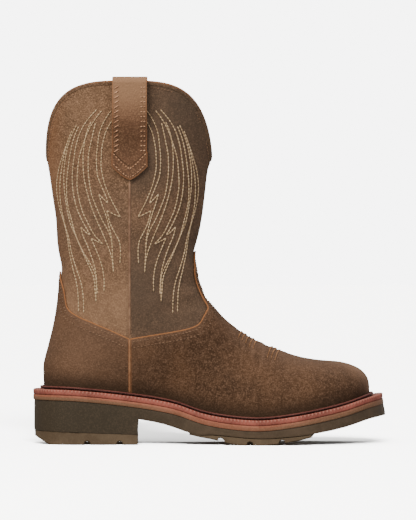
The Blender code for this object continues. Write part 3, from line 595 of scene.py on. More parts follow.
shaft_leather = distressed_leather("waxed_cowhide_shaft", "#503a28", "#755740", "#917058",
                                   "#b18b6b", "#a36b45", "#54463a")
upper_leather = distressed_leather("waxed_cowhide_foot", "#3e2919", "#654730", "#7a5b45",
                                   "#937159", "#b8794c", "#291d12")
strap_leather = distressed_leather("waxed_cowhide_strap", "#573f2e", "#6e4d38", "#835f48",
                                   "#a07a5c", "#94613f", "#3b2817")
print("leathers made")

# %% [markdown]
# Smaller pieces are of plain leather, dyed but not waxed, so each is one even tone with fine
# pores: the brown piping on the shaft, the tan strip down each side of the foot, the worn
# pleats over the toes and the pale pigskin that lines the foot.

# %% Plain leathers
def plain_leather(name, dark, light):
    material, tree, shader, place = blank(name)
    patches = noise(tree, place, 7, 3.0)
    tree.links.new(ramp(tree, patches, (0.35, dark), (0.65, light)), shader.inputs["Base Color"])
    pores = add(tree, "TexVoronoi", {"Vector": place}, {"Scale": per(1.0)}).outputs["Distance"]
    relief(tree, shader, ((pores, 0.12),))
    shader.inputs["Roughness"].default_value = 0.62
    shader.inputs["Specular IOR Level"].default_value = 0.35
    return material


piping_leather = plain_leather("brown_piping_leather", "#775640", "#987459")
seam_leather = plain_leather("tan_seam_leather", "#8c5d3d", "#ad7c57")
pleat_leather = plain_leather("worn_pleat_leather", "#90643f", "#b0825c")
lining_leather = plain_leather("pigskin_lining", "#5c4226", "#7c5f3c")

# %% [markdown]
# Waxed polyester thread, twisted from three strands. It is a pale beige on the shaft and a
# darker tan along the seams. The twist is finer than the render shows, so it is drawn as a
# slight change of colour only.

# %% Sewing thread
def thread(name, dark, light):
    material, tree, shader, place = blank(name)
    twist = noise(tree, place, 2.5, 1.0)
    tree.links.new(ramp(tree, twist, (0.35, dark), (0.65, light)), shader.inputs["Base Color"])
    shader.inputs["Roughness"].default_value = 0.55
    shader.inputs["Sheen Weight"].default_value = 0.15
    return material


beige_thread = thread("beige_polyester_thread", "#b09069", "#d2b48c")
brown_thread = thread("brown_polyester_thread", "#6d4c33", "#957052")
tan_thread = thread("tan_polyester_thread", "#a87552", "#d2a27c")

# %% [markdown]
# The sole's layers are moulded rubber. Each is one colour all through, dulled by a little dust
# and by the mould's grain, which is drawn coarser than it is so that it shows. The welt is red,
# and the midsole is salmon at the waist and brown at the heel and toe. The welt's rib tops carry
# a painted highlight, and the bead's lower part a painted shadow.

# %% Moulded rubber
def moulded_rubber(name, dark, light, dust, rough, rear=None, second=None):
    """Rubber of one colour, with another at the heel or where the vertices are marked."""
    material, tree, shader, place = blank(name)
    clouds = noise(tree, place, 16, 3.0)
    grain = noise(tree, place, 1.3, 2.0)
    base = ramp(tree, clouds, (0.38, dark), (0.62, light))
    if rear:
        x = add(tree, "SeparateXYZ", {"Vector": place}).outputs["X"]
        share = add(tree, "MapRange", {"Value": x}, {"From Min": 0.01, "From Max": 0.10})
        base = blend(tree, share.outputs["Result"], rear, base)
    if second:
        base = blend(tree, mark(tree, "second"), base, second)
    base = blend(tree, ramp(tree, grain, (0.45, 0.0), (0.90, 0.5)), base, dust)
    tree.links.new(base, shader.inputs["Base Color"])
    relief(tree, shader, ((clouds, 0.10), (grain, 0.10)))
    shader.inputs["Roughness"].default_value = rough
    shader.inputs["Specular IOR Level"].default_value = 0.25
    return material


# The welt's second colour is the painted highlight on its rib tops.
welt_rubber = moulded_rubber("red_welt_rubber", "#7d4034", "#a15647", "#b67563", 0.62,
                             second="#c08674")
# The bead's near-black second colour is a painted shadow in the gap above the welt.
bead_rubber = moulded_rubber("burgundy_bead_rubber", "#5c2c24", "#6c3a30", "#82504a", 0.55,
                             second="#220a07")
midsole_rubber = moulded_rubber("salmon_midsole_rubber", "#96563f", "#ac6a52", "#b98468", 0.66,
                                second="#76573f")
outsole_rubber = moulded_rubber("dark_outsole_rubber", "#4b3c2c", "#5a4938", "#675643", 0.66,
                                rear="#3d3325")
tread_rubber = moulded_rubber("brown_tread_rubber", "#584734", "#685641", "#77644d", 0.68)
print("rubbers made")

# %% [markdown]
# The shaft is the boot's wall, one tube of leather from inside the vamp up to the collar. A
# grid is draped all round, up the outside and down the inside of the hide, and its ends are
# merged at the back. Marks on it darken the front half, as on the real boot, where that panel
# was cut from another part of the hide. They lighten the back half in clouds and in a low band,
# lighten a band on the front, darken a higher band at the back, and put a painted shadow line
# beside each side seam.

# %% The shaft
SHAFT_AROUND, SHAFT_UP, HIDDEN_ROWS = 264, 150, 0.20
TUCK_END, PANEL_EDGE = 0.3, (SEAM_PLACE + 0.0005, SEAM_PLACE + 0.0015)
# A painted shadow line on each side of the side seam's piping: its distance from the seam, width,
# darkness and top.
SEAM_SHADOW_PLACE, SEAM_SHADOW_WIDTH, SEAM_SHADOW_STRENGTH = 0.0014, 0.0006, 0.6
SEAM_SHADOW_TOP = COLLAR_HEIGHT - 0.09


def shaft_level(around, b):
    """Level v of a row: the lowest rows are inside the vamp, the rest above its edge."""
    edge = edge_level(around)
    return np.where(b < HIDDEN_ROWS, edge * (b / HIDDEN_ROWS) ** RING_POWER,
                    mix(edge, 1.0, (b - HIDDEN_ROWS) / (1 - HIDDEN_ROWS)))


def place_shaft(a, b, lift):
    around = a * AROUND
    above = (b - HIDDEN_ROWS) / (1 - HIDDEN_ROWS)
    tucked = (OVERLAY + GAP) * (1 - ease(0.0, TUCK_END, above))
    return lifted(around, shaft_level(around, b), lift - tucked)


# Heights of a paler band on the front panel and one low at the back, and of a darker band higher at
# the back.
PALE_FRONT_HEIGHT, PALE_REAR_HEIGHT, DARK_REAR_HEIGHT, PATCH_REACH = 0.205, 0.118, 0.200, 0.030
TAN_REAR, CLOUD_RATES, CLOUD_SHIFTS = (-0.052, -0.030), (70, 55), (1.3, 0.4)


def mark_shaft(a, b, points):
    """How dark, pale and tan each place is, with a painted shadow line beside the side seam."""
    x, z = points[:, 0] + ORIGIN_X, points[:, 2]
    ahead = ease(*PANEL_EDGE, x)
    # Painted shadow: a dark line beside the piping, below the straps.
    seam_shadow = bump(np.abs(x - SEAM_PLACE) - SEAM_SHADOW_PLACE, SEAM_SHADOW_WIDTH) * (z < SEAM_SHADOW_TOP)
    waves = [np.sin(rate * along + shift)
             for rate, along, shift in zip(CLOUD_RATES, (x, z), CLOUD_SHIFTS)]
    cloudy = 0.5 + 0.5 * waves[0] * waves[1]
    front = 0.56 + 0.22 * cloudy - 0.34 * bump(z - PALE_FRONT_HEIGHT, PATCH_REACH)
    rear = 0.30 * bump(z - DARK_REAR_HEIGHT, PATCH_REACH)
    return {"shade": np.maximum(mix(rear, front, ahead), SEAM_SHADOW_STRENGTH * seam_shadow),
            "wear": (1 - ahead) * (0.13 * cloudy + 0.30 * bump(z - PALE_REAR_HEIGHT, PATCH_REACH)),
            "raw": 0.30 * (1 - ease(*TAN_REAR, points[:, 0]))}


bm = shell(SHAFT_AROUND, SHAFT_UP, place_shaft, WALL, mark_shaft, SHAFT_UP // 3)
bmesh.ops.remove_doubles(bm, verts=bm.verts, dist=WELD)
shaft_tree = BVHTree.FromBMesh(bm)
piece("shaft", bm, shaft_leather, stands_for=("upper",))

# %% [markdown]
# The vamp wraps the foot from one side seam round the toe to the other, and the counter
# wraps the heel. Both lie on top of the shaft, with a raw edge that shows the orange inside
# of the hide. They are draped in the same way and thinned to nothing at the side seams.

# %% Vamp and heel counter
SEAM_GROOVE = 0.035
EDGE_BUNCHING = ((0.0, 0.95, 1.0), (0.0, 0.985, 1.0))
TOE_SCUFF, SCUFF_STRETCH, SCUFF_SIZE = (0.2300, 0.0000, 0.0530), 1.3, 0.020
# A paler patch on the heel counter: its centre and its size.
COUNTER_PATCH, COUNTER_PATCH_SIZE = (-0.015, 0.085), 0.050
CREASE_PLACE, CREASE_SPREAD, CREASE_DEPTH = 0.138, 0.020, 0.0008
# Painted light on the foot: shade is painted near the sole over the first height, and a painted
# highlight runs along the foot's top with the width and sink given here and the start on the next
# line.
SOLE_SHADE_RISE, WORN_EDGE, TOP_HIGHLIGHT_WIDTH, TOP_HIGHLIGHT_SINK = 0.018, 0.006, 0.010, 0.001
TOP_HIGHLIGHT_START, SCUFF_START, RAW_EDGE, RAW_END = (0.08, 0.12), (0.040, 0.050), (0.0003, 0.0011), 0.0010


def overlay_place(first, last):
    def place(a, b, lift):
        around = mix(first, last, a)
        level = np.interp(b, *EDGE_BUNCHING) ** RING_POWER
        return lifted(around, edge_level(around) * level, lift)
    return place


def overlay_marks(first, last):
    place = overlay_place(first, last)

    def marks(a, b, points):
        """Distances to the two ends and the top edge, then how worn and dark each place is, with a
        painted highlight along the foot's top and painted shade near the sole.
        """
        ends = [place(0 * a, b, 0 * a), place(0 * a + 1, b, 0 * a), place(a, 0 * b + 1, 0 * a)]
        runs = [np.linalg.norm(points - end, axis=1) for end in ends]
        x, y, z = points.T
        top = foot_top(x + ORIGIN_X)
        # A painted highlight along the top of the foot.
        ridge = bump(z - top + TOP_HIGHLIGHT_SINK, TOP_HIGHLIGHT_WIDTH) * ease(*TOP_HIGHLIGHT_START, x)
        scuff = np.hypot((x - TOE_SCUFF[0]) / SCUFF_STRETCH, y - TOE_SCUFF[1])
        scuff = bump(scuff, SCUFF_SIZE) * ease(*SCUFF_START, z)
        # The crests of the toe folds are paler: flex wear and a painted highlight.
        crease = np.clip(folds(points) / CREASE_DEPTH, 0.0, 1.0)
        crease *= bump(x - CREASE_PLACE, CREASE_SPREAD)
        # Painted shade: the foot leather is darker towards the sole.
        low = 1 - ease(0.0, SOLE_SHADE_RISE, z - sole_line(x + ORIGIN_X))
        edge = bump(runs[2], WORN_EDGE)
        heel = bump(np.hypot(x - COUNTER_PATCH[0], z - COUNTER_PATCH[1]), COUNTER_PATCH_SIZE)
        return {"raw": np.maximum(0.95 * (1 - ease(*RAW_EDGE, runs[2])),
                                  0.3 * (1 - ease(0.0, RAW_END, np.minimum(runs[0], runs[1])))),
                "wear": np.clip(0.18 * ridge + 0.55 * scuff + 0.35 * crease + 0.25 * edge
                                + 0.40 * heel, 0.0, 0.8),
                "shade": np.clip(0.60 * low + 0.22, 0.0, 1.0) * (1 - 0.8 * scuff)}
    return marks


def make_overlay(name, node, across, up, first, last):
    """Make one overlay and keep a search tree of it, which the stitches are laid on."""
    bm = shell(across, up, overlay_place(first, last), OVERLAY, overlay_marks(first, last), up,
               skive=True)
    tree = BVHTree.FromBMesh(bm)
    piece(name, bm, upper_leather, stands_for=(node,))
    return tree


vamp_tree = make_overlay("vamp_leather", "vamp", 250, 84, REAR + SEAM_GROOVE,
                         REAR + 2 * FRONT - SEAM_GROOVE)
counter_tree = make_overlay("counter_leather", "heel_counter", 150, 70, SEAM_GROOVE - REAR,
                            REAR - SEAM_GROOVE)

# %% [markdown]
# A rounded bar that follows a line makes the binding, the piping and the bead. Its section
# is a closed loop, so the grid's two long sides meet and are merged.

# %% Rounded bars along a line
TAPER_STEPS, RUN_STEP = 3, 0.03


def bar(name, across, up, path, section, surface, stands_for, marks=None, taper=False):
    """Sweep section(b) = (out, up) along path(a) = points, out vectors and up vectors."""

    def place(a, b):
        points, out, rise = path(a)
        right, high = section(b)
        if taper:
            size = np.sqrt(np.clip(np.minimum(a, 1 - a) * across / TAPER_STEPS, 0.0, 1.0))
            right, high = right * size, high * size
        return points + out * right[:, None] + rise * high[:, None]

    piece(name, drape(across, up, place, marks), surface, stands_for=stands_for)


def unit(vectors):
    return vectors / np.linalg.norm(vectors, axis=-1, keepdims=True)


NEAR_TOP, BINDING_LAP, BINDING_POWER = 0.985, 0.0012, 0.6
BINDING_DARK = (SEAM_PLACE - 0.001, SEAM_PLACE + 0.001)


def rounded_box(b, half, high, power):
    """Points round an oblong whose corners get squarer as the power falls."""
    turn = 2 * math.pi * b
    return (half * np.sign(np.cos(turn)) * np.abs(np.cos(turn)) ** power,
            high * np.sign(np.sin(turn)) * np.abs(np.sin(turn)) ** power)


def collar_path(a):
    """The collar's edge, with directions out of the wall and along it upwards."""
    around = a * AROUND
    top, under = skin_at(around, 1 + 0 * a), skin_at(around, NEAR_TOP + 0 * a)
    run = unit(skin_at(around + RUN_STEP, 1 + 0 * a) - skin_at(around - RUN_STEP, 1 + 0 * a))
    out = unit(np.cross(run, top - under))
    rise = unit(np.cross(out, run))
    return top - out * WALL / 2, out, rise


def binding_section(b):
    """A folded strip: straight sides that lap the wall and a round fold on top."""
    high = (BINDING_HEIGHT + BINDING_LAP) / 2
    out, up = rounded_box(b, BINDING_WIDTH / 2 - GAP, high, BINDING_POWER)
    return out, high - BINDING_LAP + up


def mark_binding(a, b, points):
    """The fold is worn to orange tan, and the front half is dark like the shaft below."""
    fold = ease(0.1, 0.9, np.sin(2 * math.pi * b))
    ahead = ease(*BINDING_DARK, points[:, 0] + ORIGIN_X)
    return {"raw": 0.85 * fold, "wear": 0.0 * a, "shade": 0.15 + 0.4 * ahead}


bar("collar_binding", 300, 24, collar_path, binding_section, shaft_leather,
    ("topline_binding",), mark_binding)

# %% [markdown]
# The storm bead is a narrow rubber roll that seals the upper to the welt. It follows the foot
# of the leather all round, with a narrow gap below it, and its lower part is painted dark as a
# painted shadow in that gap.

# %% The bead
BEAD_POWER, BEAD_SHADOW = 0.75, (0.45, 0.60)


def bead_path(a):
    around = a * AROUND
    foot = skin_at(around, 0 * a)
    run = unit(skin_at(around + RUN_STEP, 0 * a) - skin_at(around - RUN_STEP, 0 * a))
    run[:, 2] = 0
    out = unit(np.cross(run, np.array((0.0, 0.0, 1.0))))
    centre = foot + out * (2 * GAP + BEAD_WIDTH / 2)
    centre[:, 2] = feather(centre[:, 0] + ORIGIN_X)
    return centre, out, np.tile((0.0, 0.0, 1.0), (len(a), 1))


def bead_section(b):
    high = (BEAD_HEIGHT - GAP) / 2
    out, up = rounded_box(b, BEAD_WIDTH / 2, high, BEAD_POWER)
    return out, high + up


def mark_bead(a, b, points):
    """The bead's lower part is painted dark, a painted shadow in the gap above the welt."""
    height = points[:, 2] - feather(points[:, 0] + ORIGIN_X)
    return {"second": 1 - ease(*(share * BEAD_HEIGHT for share in BEAD_SHADOW), height)}


bar("bead_roll", 300, 20, bead_path, bead_section, bead_rubber,
    ("storm_bead",), mark_bead)

# %% [markdown]
# Below the bead each layer follows the same rim. Its shares are counted evenly round the sole,
# so that the wheel's ribs come out the same width everywhere.

# %% The sole's rim
RIM_SAMPLES, RIM_END = 900, 0.004
SOLE_SHARES = (1 - np.cos(np.pi * np.linspace(RIM_END, 1 - RIM_END, RIM_SAMPLES))) / 2


def sole_rim():
    """Even steps round the sole's outline, as shares along it and distances run."""
    along = np.concatenate((SOLE_SHARES, SOLE_SHARES[::-1]))
    side = np.concatenate((-np.ones(RIM_SAMPLES), np.ones(RIM_SAMPLES)))
    x, y = outline_point(along, side, 0.0)
    runs = np.hypot(np.diff(x, append=x[0]), np.diff(y, append=y[0]))
    return along, np.concatenate(([0.0], np.cumsum(runs)))


RIM_ALONG, RIM_ARC = sole_rim()
RIM_TURN = RIM_ARC[RIM_SAMPLES] - (RIM_ARC[RIM_SAMPLES] - RIM_ARC[RIM_SAMPLES - 1]) / 2


def rim_point(a, inset):
    """A point of the outline at an even share a of the way round, moved in by an inset."""
    at = np.mod(a, 1.0) * RIM_ARC[-1]
    along = np.interp(at, RIM_ARC, np.append(RIM_ALONG, RIM_ALONG[0]))
    return outline_point(along, np.where(at < RIM_TURN, -1.0, 1.0), inset)


print("sole is", round(1000 * RIM_ARC[-1]), "mm round")

# %% [markdown]
# The welt is a strip with rounded corners. Its outer edge is pressed with a ribbed wheel, so
# the upper half of that edge moves in between the ribs. The tops of the ribs are painted paler,
# a painted highlight.

# %% The welt
RIB_PITCH, RIB_DEPTH, RIB_HEIGHT, RIB_EDGE = 0.0033, 0.0005, 0.0024, (0.0030, 0.0036)
RIB_TOP = WELT_TOP + RIB_HEIGHT
RIB_FADE, PALE_FADE = (WELT_TOP + 0.8 * RIB_HEIGHT, RIB_TOP), (WELT_TOP + 0.5 * RIB_HEIGHT, RIB_TOP)
CORNER, CORNER_LIMIT, CORNER_STEPS = 0.0011, 0.45, (0.0, 0.33, 0.67, 1.0)


def toward(here, other):
    """The point where a corner's rounding starts, on the way to the next corner."""
    return here + (other - here) * min(CORNER_LIMIT, CORNER / np.linalg.norm(other - here))


def layer_loop(rows):
    """A closed section from (inset, drop) rows with its corners rounded."""
    points = []
    for before, here, after in zip(rows[-1:] + rows[:-1], rows, rows[1:] + rows[:1]):
        here, before, after = (np.array(row, float) for row in (here, before, after))
        start, end = toward(here, before), toward(here, after)
        points += [mix(mix(start, here, t), mix(here, end, t), t) for t in CORNER_STEPS]
    return np.array(points + points[:1])


def ring_layer(name, node, rows, across, surface, rib, marks):
    """A strip all round the sole, from (inset, drop below the sole line) rows."""
    loop = layer_loop(rows)

    def place(a, b):
        at = b * (len(loop) - 1)
        inset = np.interp(at, np.arange(len(loop)), loop[:, 0])
        drop = np.interp(at, np.arange(len(loop)), loop[:, 1])
        x, y = rim_point(a, inset + rib(a, inset, drop))
        return np.stack((x - ORIGIN_X, y, sole_line(x) - drop), axis=-1)

    piece(name, drape(across, len(loop) - 1, place, marks), surface,
          stands_for=(node,))


def rib_wave(a):
    """0 in the grooves and 1 on the ribs, at the wheel's pitch round the sole."""
    return 0.5 - 0.5 * np.cos(2 * math.pi * round(RIM_ARC[-1] / RIB_PITCH) * a)


def wheel_ribs(a, inset, drop):
    """Upright ribs on the outer edge's upper half."""
    high, outer = 1 - ease(*RIB_FADE, drop), 1 - ease(*RIB_EDGE, inset)
    return RIB_DEPTH * (1 - rib_wave(a)) * high * outer


def mark_welt(a, b, points):
    """Paler rib tops at the top of the edge, a painted highlight."""
    drop = sole_line(points[:, 0] + ORIGIN_X) - points[:, 2]
    return {"second": 0.6 * (1 - ease(*PALE_FADE, drop)) * rib_wave(a) ** 2}


ring_layer("ribbed_welt", "welt",
           [(0.0, WELT_TOP), (0.0, RIB_TOP), (0.0, WELT_UNDER),
            (WELT_STRIP, WELT_UNDER), (WELT_STRIP, WELT_TOP)],
           1800, welt_rubber, wheel_ribs, mark_welt)

# %% [markdown]
# The midsole and the outsole are solid slabs. The grid's middle rows are the wall round the
# rim, and the rows before and after run in over the top and the underside until both sides
# meet along the middle line. The outsole's toe flares out a little as a bumper.

# %% Midsole and outsole
WALL_ROWS, FACE_ROWS, CENTRE_STEP, CENTRE_SHARE = 9, 3, 0.002, 0.98
CENTRE_START, CENTRE_END, FLARE_START = 0.02, 0.03, 0.90
TOE_FLARE, MIDSOLE_FLARE = (0.0018, 0.0034), (0.0004, 0.0010)
TAN_RISE, WAIST_PLACE, WAIST_REACH, BROWN_TOE = (0.10, 0.45), 0.095, 0.055, (0.14, 0.20)
MIDSOLE_BULGE, OUTSOLE_BULGE, MIDSOLE_SINK = 0.0003, 0.0002, 0.0001


def slab_layer(name, node, inset, top, under, across, surface, bulge, flare, marks=None):
    """A solid layer of the sole: walls round its rim and faces that meet along the middle."""
    last = WALL_ROWS + 2 * FACE_ROWS - 1

    def place(a, b):
        row = np.round(b * last).astype(int)
        on_wall = np.clip((row - FACE_ROWS) / (WALL_ROWS - 1), 0.0, 1.0)
        inner = np.maximum(np.maximum(1 - row / FACE_ROWS, (row - last) / FACE_ROWS + 1), 0)
        rounding = bulge * (1 - np.sqrt(np.clip(1 - (2 * on_wall - 1) ** 4, 0, 1)))
        x, y = rim_point(a, inset + rounding)
        x = x + mix(*flare, on_wall) * ease(FLARE_START, 1.0, x / SOLE_LENGTH)
        middle = np.clip(x, CENTRE_START, SOLE_LENGTH - CENTRE_END)
        x, y = mix(x, middle, inner * CENTRE_SHARE), y * (1 - inner)
        x = np.where(inner == 1, np.round(x / CENTRE_STEP) * CENTRE_STEP, x)
        z = mix(top(x), under(x), on_wall)
        return np.stack((x - ORIGIN_X, y, z), axis=-1)

    piece(name, drape(across, last, place, marks), surface, stands_for=(node,))


def mark_midsole(a, b, points):
    """The midsole's lower part is brown, less at the waist and all through at the toe."""
    drop = sole_line(points[:, 0] + ORIGIN_X) - points[:, 2] - MIDSOLE_TOP
    waist = bump(points[:, 0] - WAIST_PLACE, WAIST_REACH)
    low = ease(*TAN_RISE, drop / MIDSOLE_THICKNESS)
    return {"second": np.maximum(low * (0.95 - 0.60 * waist),
                                 0.75 * ease(*BROWN_TOE, points[:, 0]))}


def under_line(drop):
    """Heights a distance below the sole line."""
    return lambda x: sole_line(x) - drop


def outsole_under(x):
    """The outsole's underside: flat on the heel tread, then the arch and the forefoot."""
    heel = HEEL_TREAD_THICKNESS * (1 + TREAD_FALL * (0.5 - x / HEEL_LENGTH)) + GAP
    arch = sole_line(x) - OUTSOLE_TOP - OUTSOLE_DEPTH * outsole_depth(x / SOLE_LENGTH)
    return np.where(x <= HEEL_LENGTH, heel, arch)


slab_layer("midsole_layer", "midsole", 0.0, under_line(WELT_UNDER + MIDSOLE_SINK),
           under_line(MIDSOLE_UNDER), 700, midsole_rubber, MIDSOLE_BULGE,
           MIDSOLE_FLARE, mark_midsole)
slab_layer("outsole_block", "outsole", OUTSOLE_INSET, under_line(OUTSOLE_TOP), outsole_under,
           1200, outsole_rubber, OUTSOLE_BULGE, TOE_FLARE)

# %% [markdown]
# The treads and the insole board keep the solids' shapes, which are right already. Each node
# only gets its better finish.

# %% Nodes that keep their shape
for name, surface in (("heel_tread", tread_rubber), ("forefoot_tread", tread_rubber),
                      ("insole", lining_leather)):
    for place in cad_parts[name].material_slots:
        place.material = surface

# %% [markdown]
# Stitches are small grains of thread, pulled down into the leather at both ends. One grain
# is an icosphere of twenty faces, stretched along the seam. A row of them is laid along a
# line on the leather at the machine's pitch, so that each follows the surface.

# %% Sewing
STITCH_LIFT = 0.0001


class Seam:
    """Collects stitches of one thread as a single mesh."""
    def __init__(self):
        self.bm = bmesh.new()
        self.count = 0

    def stitch(self, place, normal, along, length, width):
        """Add one grain at a place, stretched along its run."""
        across = normal.cross(along).normalized()
        along = across.cross(normal).normalized()
        turn = Matrix((along, across, normal)).transposed().to_4x4()
        size = Matrix.Diagonal((length / 2, width / 2, width / 2, 1.0))
        bmesh.ops.create_icosphere(self.bm, subdivisions=1, radius=1.0,
                                   matrix=Matrix.Translation(place) @ turn @ size)
        self.count += 1

    def row(self, line, tree, pitch, length, width):
        """Stitch along a line of points, on the leather whose search tree is given."""
        line = np.array([Vector(point) for point in line])
        arc = np.concatenate(([0.0], np.cumsum(np.linalg.norm(np.diff(line, axis=0), axis=1))))
        count = max(2, round(arc[-1] / pitch))
        at = (np.arange(count) + 0.5) / count * arc[-1]
        back, spots, ahead = (
            np.stack([np.interp(at + step, arc, line[:, i]) for i in range(3)], axis=-1)
            for step in (-pitch / 4, 0.0, pitch / 4))
        for spot, a, b in zip(spots, back, ahead):
            place, normal, _, _ = tree.find_nearest(Vector(spot))
            self.stitch(place + normal * (STITCH_LIFT + width / 6), normal, Vector(b - a), length,
                        width)

    def finish(self, name, surface):
        """Make the seam an object of its own."""
        print(self.count, "stitches in", name)
        piece(name, self.bm, surface, closed=False)


LINE_STEP = 0.001


def smooth_line(points):
    """A smooth line through a few points, as fine points."""
    points = np.array(points, float)
    at = np.concatenate(([0.0], np.cumsum(np.linalg.norm(np.diff(points, axis=0), axis=1))))
    fine = np.linspace(0, at[-1], max(3, int(at[-1] / LINE_STEP)))
    return np.stack([curve(*zip(at, points[:, i]))(fine) for i in range(points.shape[1])], axis=-1)


# %% [markdown]
# The shaft carries the flame stitching of a western boot: double rows that fan down from
# the collar, some ending in a barbed tip. It is worked on both halves of each side, mirrored
# about the side seam. The table gives each row's places behind the seam and above the floor.

# %% Flame stitching
FLAMES = (
    ((16, 296), (21, 289), (25, 281), (27, 274), (28, 266), (29, 257), (29, 247), (28, 238),
     (25, 230), (20, 218), (19.0, 214)),
    ((19.0, 214), (22, 217), (27, 222)),
    ((27, 222), (24, 212), (21, 204), (18, 193), (16, 184), (15, 174)),
    ((14, 289), (18, 283), (21, 277), (23, 270), (24.5, 262), (25, 253), (25, 246), (23, 235),
     (20, 226), (16, 217), (8.0, 202)),
    ((8.0, 202), (13, 204), (20, 207.5)),
    ((20, 207.5), (17, 196), (13, 188), (9, 180), (8, 171), (8.5, 161)),
    ((34, 286), (37, 279), (39, 272), (40.5, 262), (41, 252), (40.5, 240), (38, 226), (34, 212),
     (29, 199), (24, 188), (19, 176), (15.5, 165), (14.2, 153)),
    ((30, 285), (32, 277), (34, 268), (36, 258), (36.5, 248), (36, 237), (33.5, 222), (29, 210),
     (24, 199), (19, 190), (16, 181), (14.2, 153)),
    ((29, 297), (37, 288), (43, 278), (47, 266), (49, 254), (50.5, 240), (50, 226), (47, 211),
     (42, 199), (37, 190), (34.5, 186)),
    ((34.5, 186), (38, 188), (43, 193)),
    ((43, 193), (41, 185), (37, 176), (33, 165), (30, 154), (28.8, 143), (28.5, 134)),
    ((24.5, 296), (30, 289), (36, 279), (41, 266), (44.5, 254), (46, 240), (46, 226), (42, 208),
     (37, 197), (31, 186), (23.5, 178)),
    ((23.5, 178), (28, 180), (34, 183)),
    ((34, 183), (30, 174), (26, 164), (23.5, 155), (22.4, 145), (22.6, 136)),
    ((47, 283), (52, 272), (55, 262), (57.5, 247), (58, 232), (56, 214), (52.5, 197), (47, 184),
     (41, 170), (35, 157), (31.5, 148), (30.5, 137), (29.6, 127)),
    ((45, 282), (49, 272), (52, 260), (54, 247), (55.5, 232), (55, 215), (51, 198), (47, 184),
     (41.5, 172), (34.5, 160), (30, 150), (29.6, 127)),
    ((51, 278), (56, 264), (59, 250), (61.5, 232), (61, 214), (58, 198), (55, 184), (53, 170),
     (50, 156), (47, 144), (45.5, 134), (45, 118)),
    ((54, 270), (59, 256), (63, 242), (64.5, 226), (62, 210), (58, 197), (54, 184), (51, 169),
     (47, 156), (43, 144), (41, 132), (40.5, 117)),
)
FRONT_SQUEEZE, MILLIMETRE, OUTSIDE, SEAM_X = 0.94, 0.001, 0.2, SEAM_PLACE - ORIGIN_X
FLAME_STITCH = dict(pitch=0.0030, length=0.0034, width=0.0013)


def side_hit(tree, x, z, side):
    """The leather's outer face as seen from one side, at a place x along and z up."""
    return tree.ray_cast(Vector((x, OUTSIDE * side, z)), Vector((0, -side, 0)))[0]


def on_side(tree, line, side):
    """Where (x, z) places of a line fall on the leather, seen from one side."""
    hits = [side_hit(tree, x, z, side) for x, z in line]
    return [hit for hit in hits if hit is not None]


flames = Seam()
for side in (-1, 1):
    for toward, squeeze in ((-1, 1.0), (1, FRONT_SQUEEZE)):
        for row in FLAMES:
            line = smooth_line([(SEAM_X + toward * behind * MILLIMETRE * squeeze,
                                 height * MILLIMETRE) for behind, height in row])
            hits = on_side(shaft_tree, line, side)
            if len(hits) > 2:
                flames.row(hits, shaft_tree, **FLAME_STITCH)
flames.finish("flame_stitching", beige_thread)

# %% [markdown]
# A raised piping covers each side seam of the shaft. It is a strip of leather folded over a
# cord and caught in the seam, so that it hides the cut edges.

# %% Side piping
PIPING_WIDTH, PIPING_HEIGHT, PIPING_CLEARANCE = 0.0019, 0.0010, 0.0018
STRAP_WIDTH, STRAP_THICKNESS, STRAP_CROWN, STRAP_DROP = 0.0305, 0.0024, 0.0034, 0.0880
STRAP_POINT, STRAP_INNER_DROP, STRAP_STANDOFF = 0.0120, 0.0600, 0.0058
REACH_TOP = COLLAR_HEIGHT - BINDING_HEIGHT - 0.002
PIPING_TOP = COLLAR_HEIGHT - STRAP_DROP + 0.002
PIPING_END = COLLAR_HEIGHT * counter_edge(1.0) + PIPING_CLEARANCE


def wall_reach(x, z, side):
    """How far the shaft's outer face reaches at a place on one side."""
    return abs(side_hit(shaft_tree, x, min(z, REACH_TOP), side).y)


def piping_path(side):
    """Straight down the shaft's side seam, from under the strap to the foot's leather."""
    def path(a):
        z = mix(PIPING_TOP, PIPING_END, a)
        y = [side * (wall_reach(SEAM_X, height, side) - GAP) for height in z]
        return (np.stack((np.full_like(a, SEAM_X), y, z), axis=-1),
                np.tile((0.0, side, 0.0), (len(a), 1)), np.tile((side, 0.0, 0.0), (len(a), 1)))
    return path


def piping_section(b):
    """A flat oval that sits on the leather."""
    turn = 2 * math.pi * b
    return PIPING_HEIGHT / 2 * (1 + np.sin(turn)), PIPING_WIDTH / 2 * np.cos(turn)


for side, word in ((-1, "lateral"), (1, "medial")):
    bar("piping_" + word, 90, 12, piping_path(side), piping_section, piping_leather,
        ("side_seam_" + word,), taper=True)

# %% [markdown]
# Two pull straps loop over the collar. Each is one long strip that runs up inside the shaft,
# over the top and down outside to a pointed end. A second layer strengthens the point, and
# a rounded edge shows the tan inside of the hide.

# %% Pull straps
STRAP_COLUMNS, PATCH_RISE, PATCH_SPREAD, PATCH_STEP = 44, 0.0008, 0.0006, 0.0004
PATCH_POINT, PATCH_EDGE, PATCH_POWER = 0.0760, 0.0625, 1.3
INNER_ROWS, TURN_ROWS, OUTER_ROWS = 18, 14, 110
TOP_STANDOFF, POINT_POWER, STAND_RISE, STAND_FALL = 0.8, 1.4, (0.0, 0.3), (0.35, 0.72)
LEAN_IN = (0.2, 1.0)
# A painted highlight pales the strap's upper part between these two depths below the collar; a
# darker band lies lower down.
STRAP_HIGHLIGHT_SPAN, DARK_PLACE, DARK_REACH = (0.042, 0.004), 0.055, 0.018
RIM_WIDTH, TIP_WIDTH, PATCH_LINE = (0.93, 0.97), (0.0006, 0.0014), 0.0006
EDGE_ROUND, CORNER_ANGLE = 0.0004, math.radians(60)


def strap_end(across):
    """Height of the strap's pointed end at a share across it."""
    return COLLAR_HEIGHT - STRAP_DROP + STRAP_POINT * np.abs(across) ** POINT_POWER


def patch_top(across):
    """Height of the inner edge of the pointed patch."""
    return COLLAR_HEIGHT - mix(PATCH_POINT, PATCH_EDGE, np.abs(across) ** PATCH_POWER)


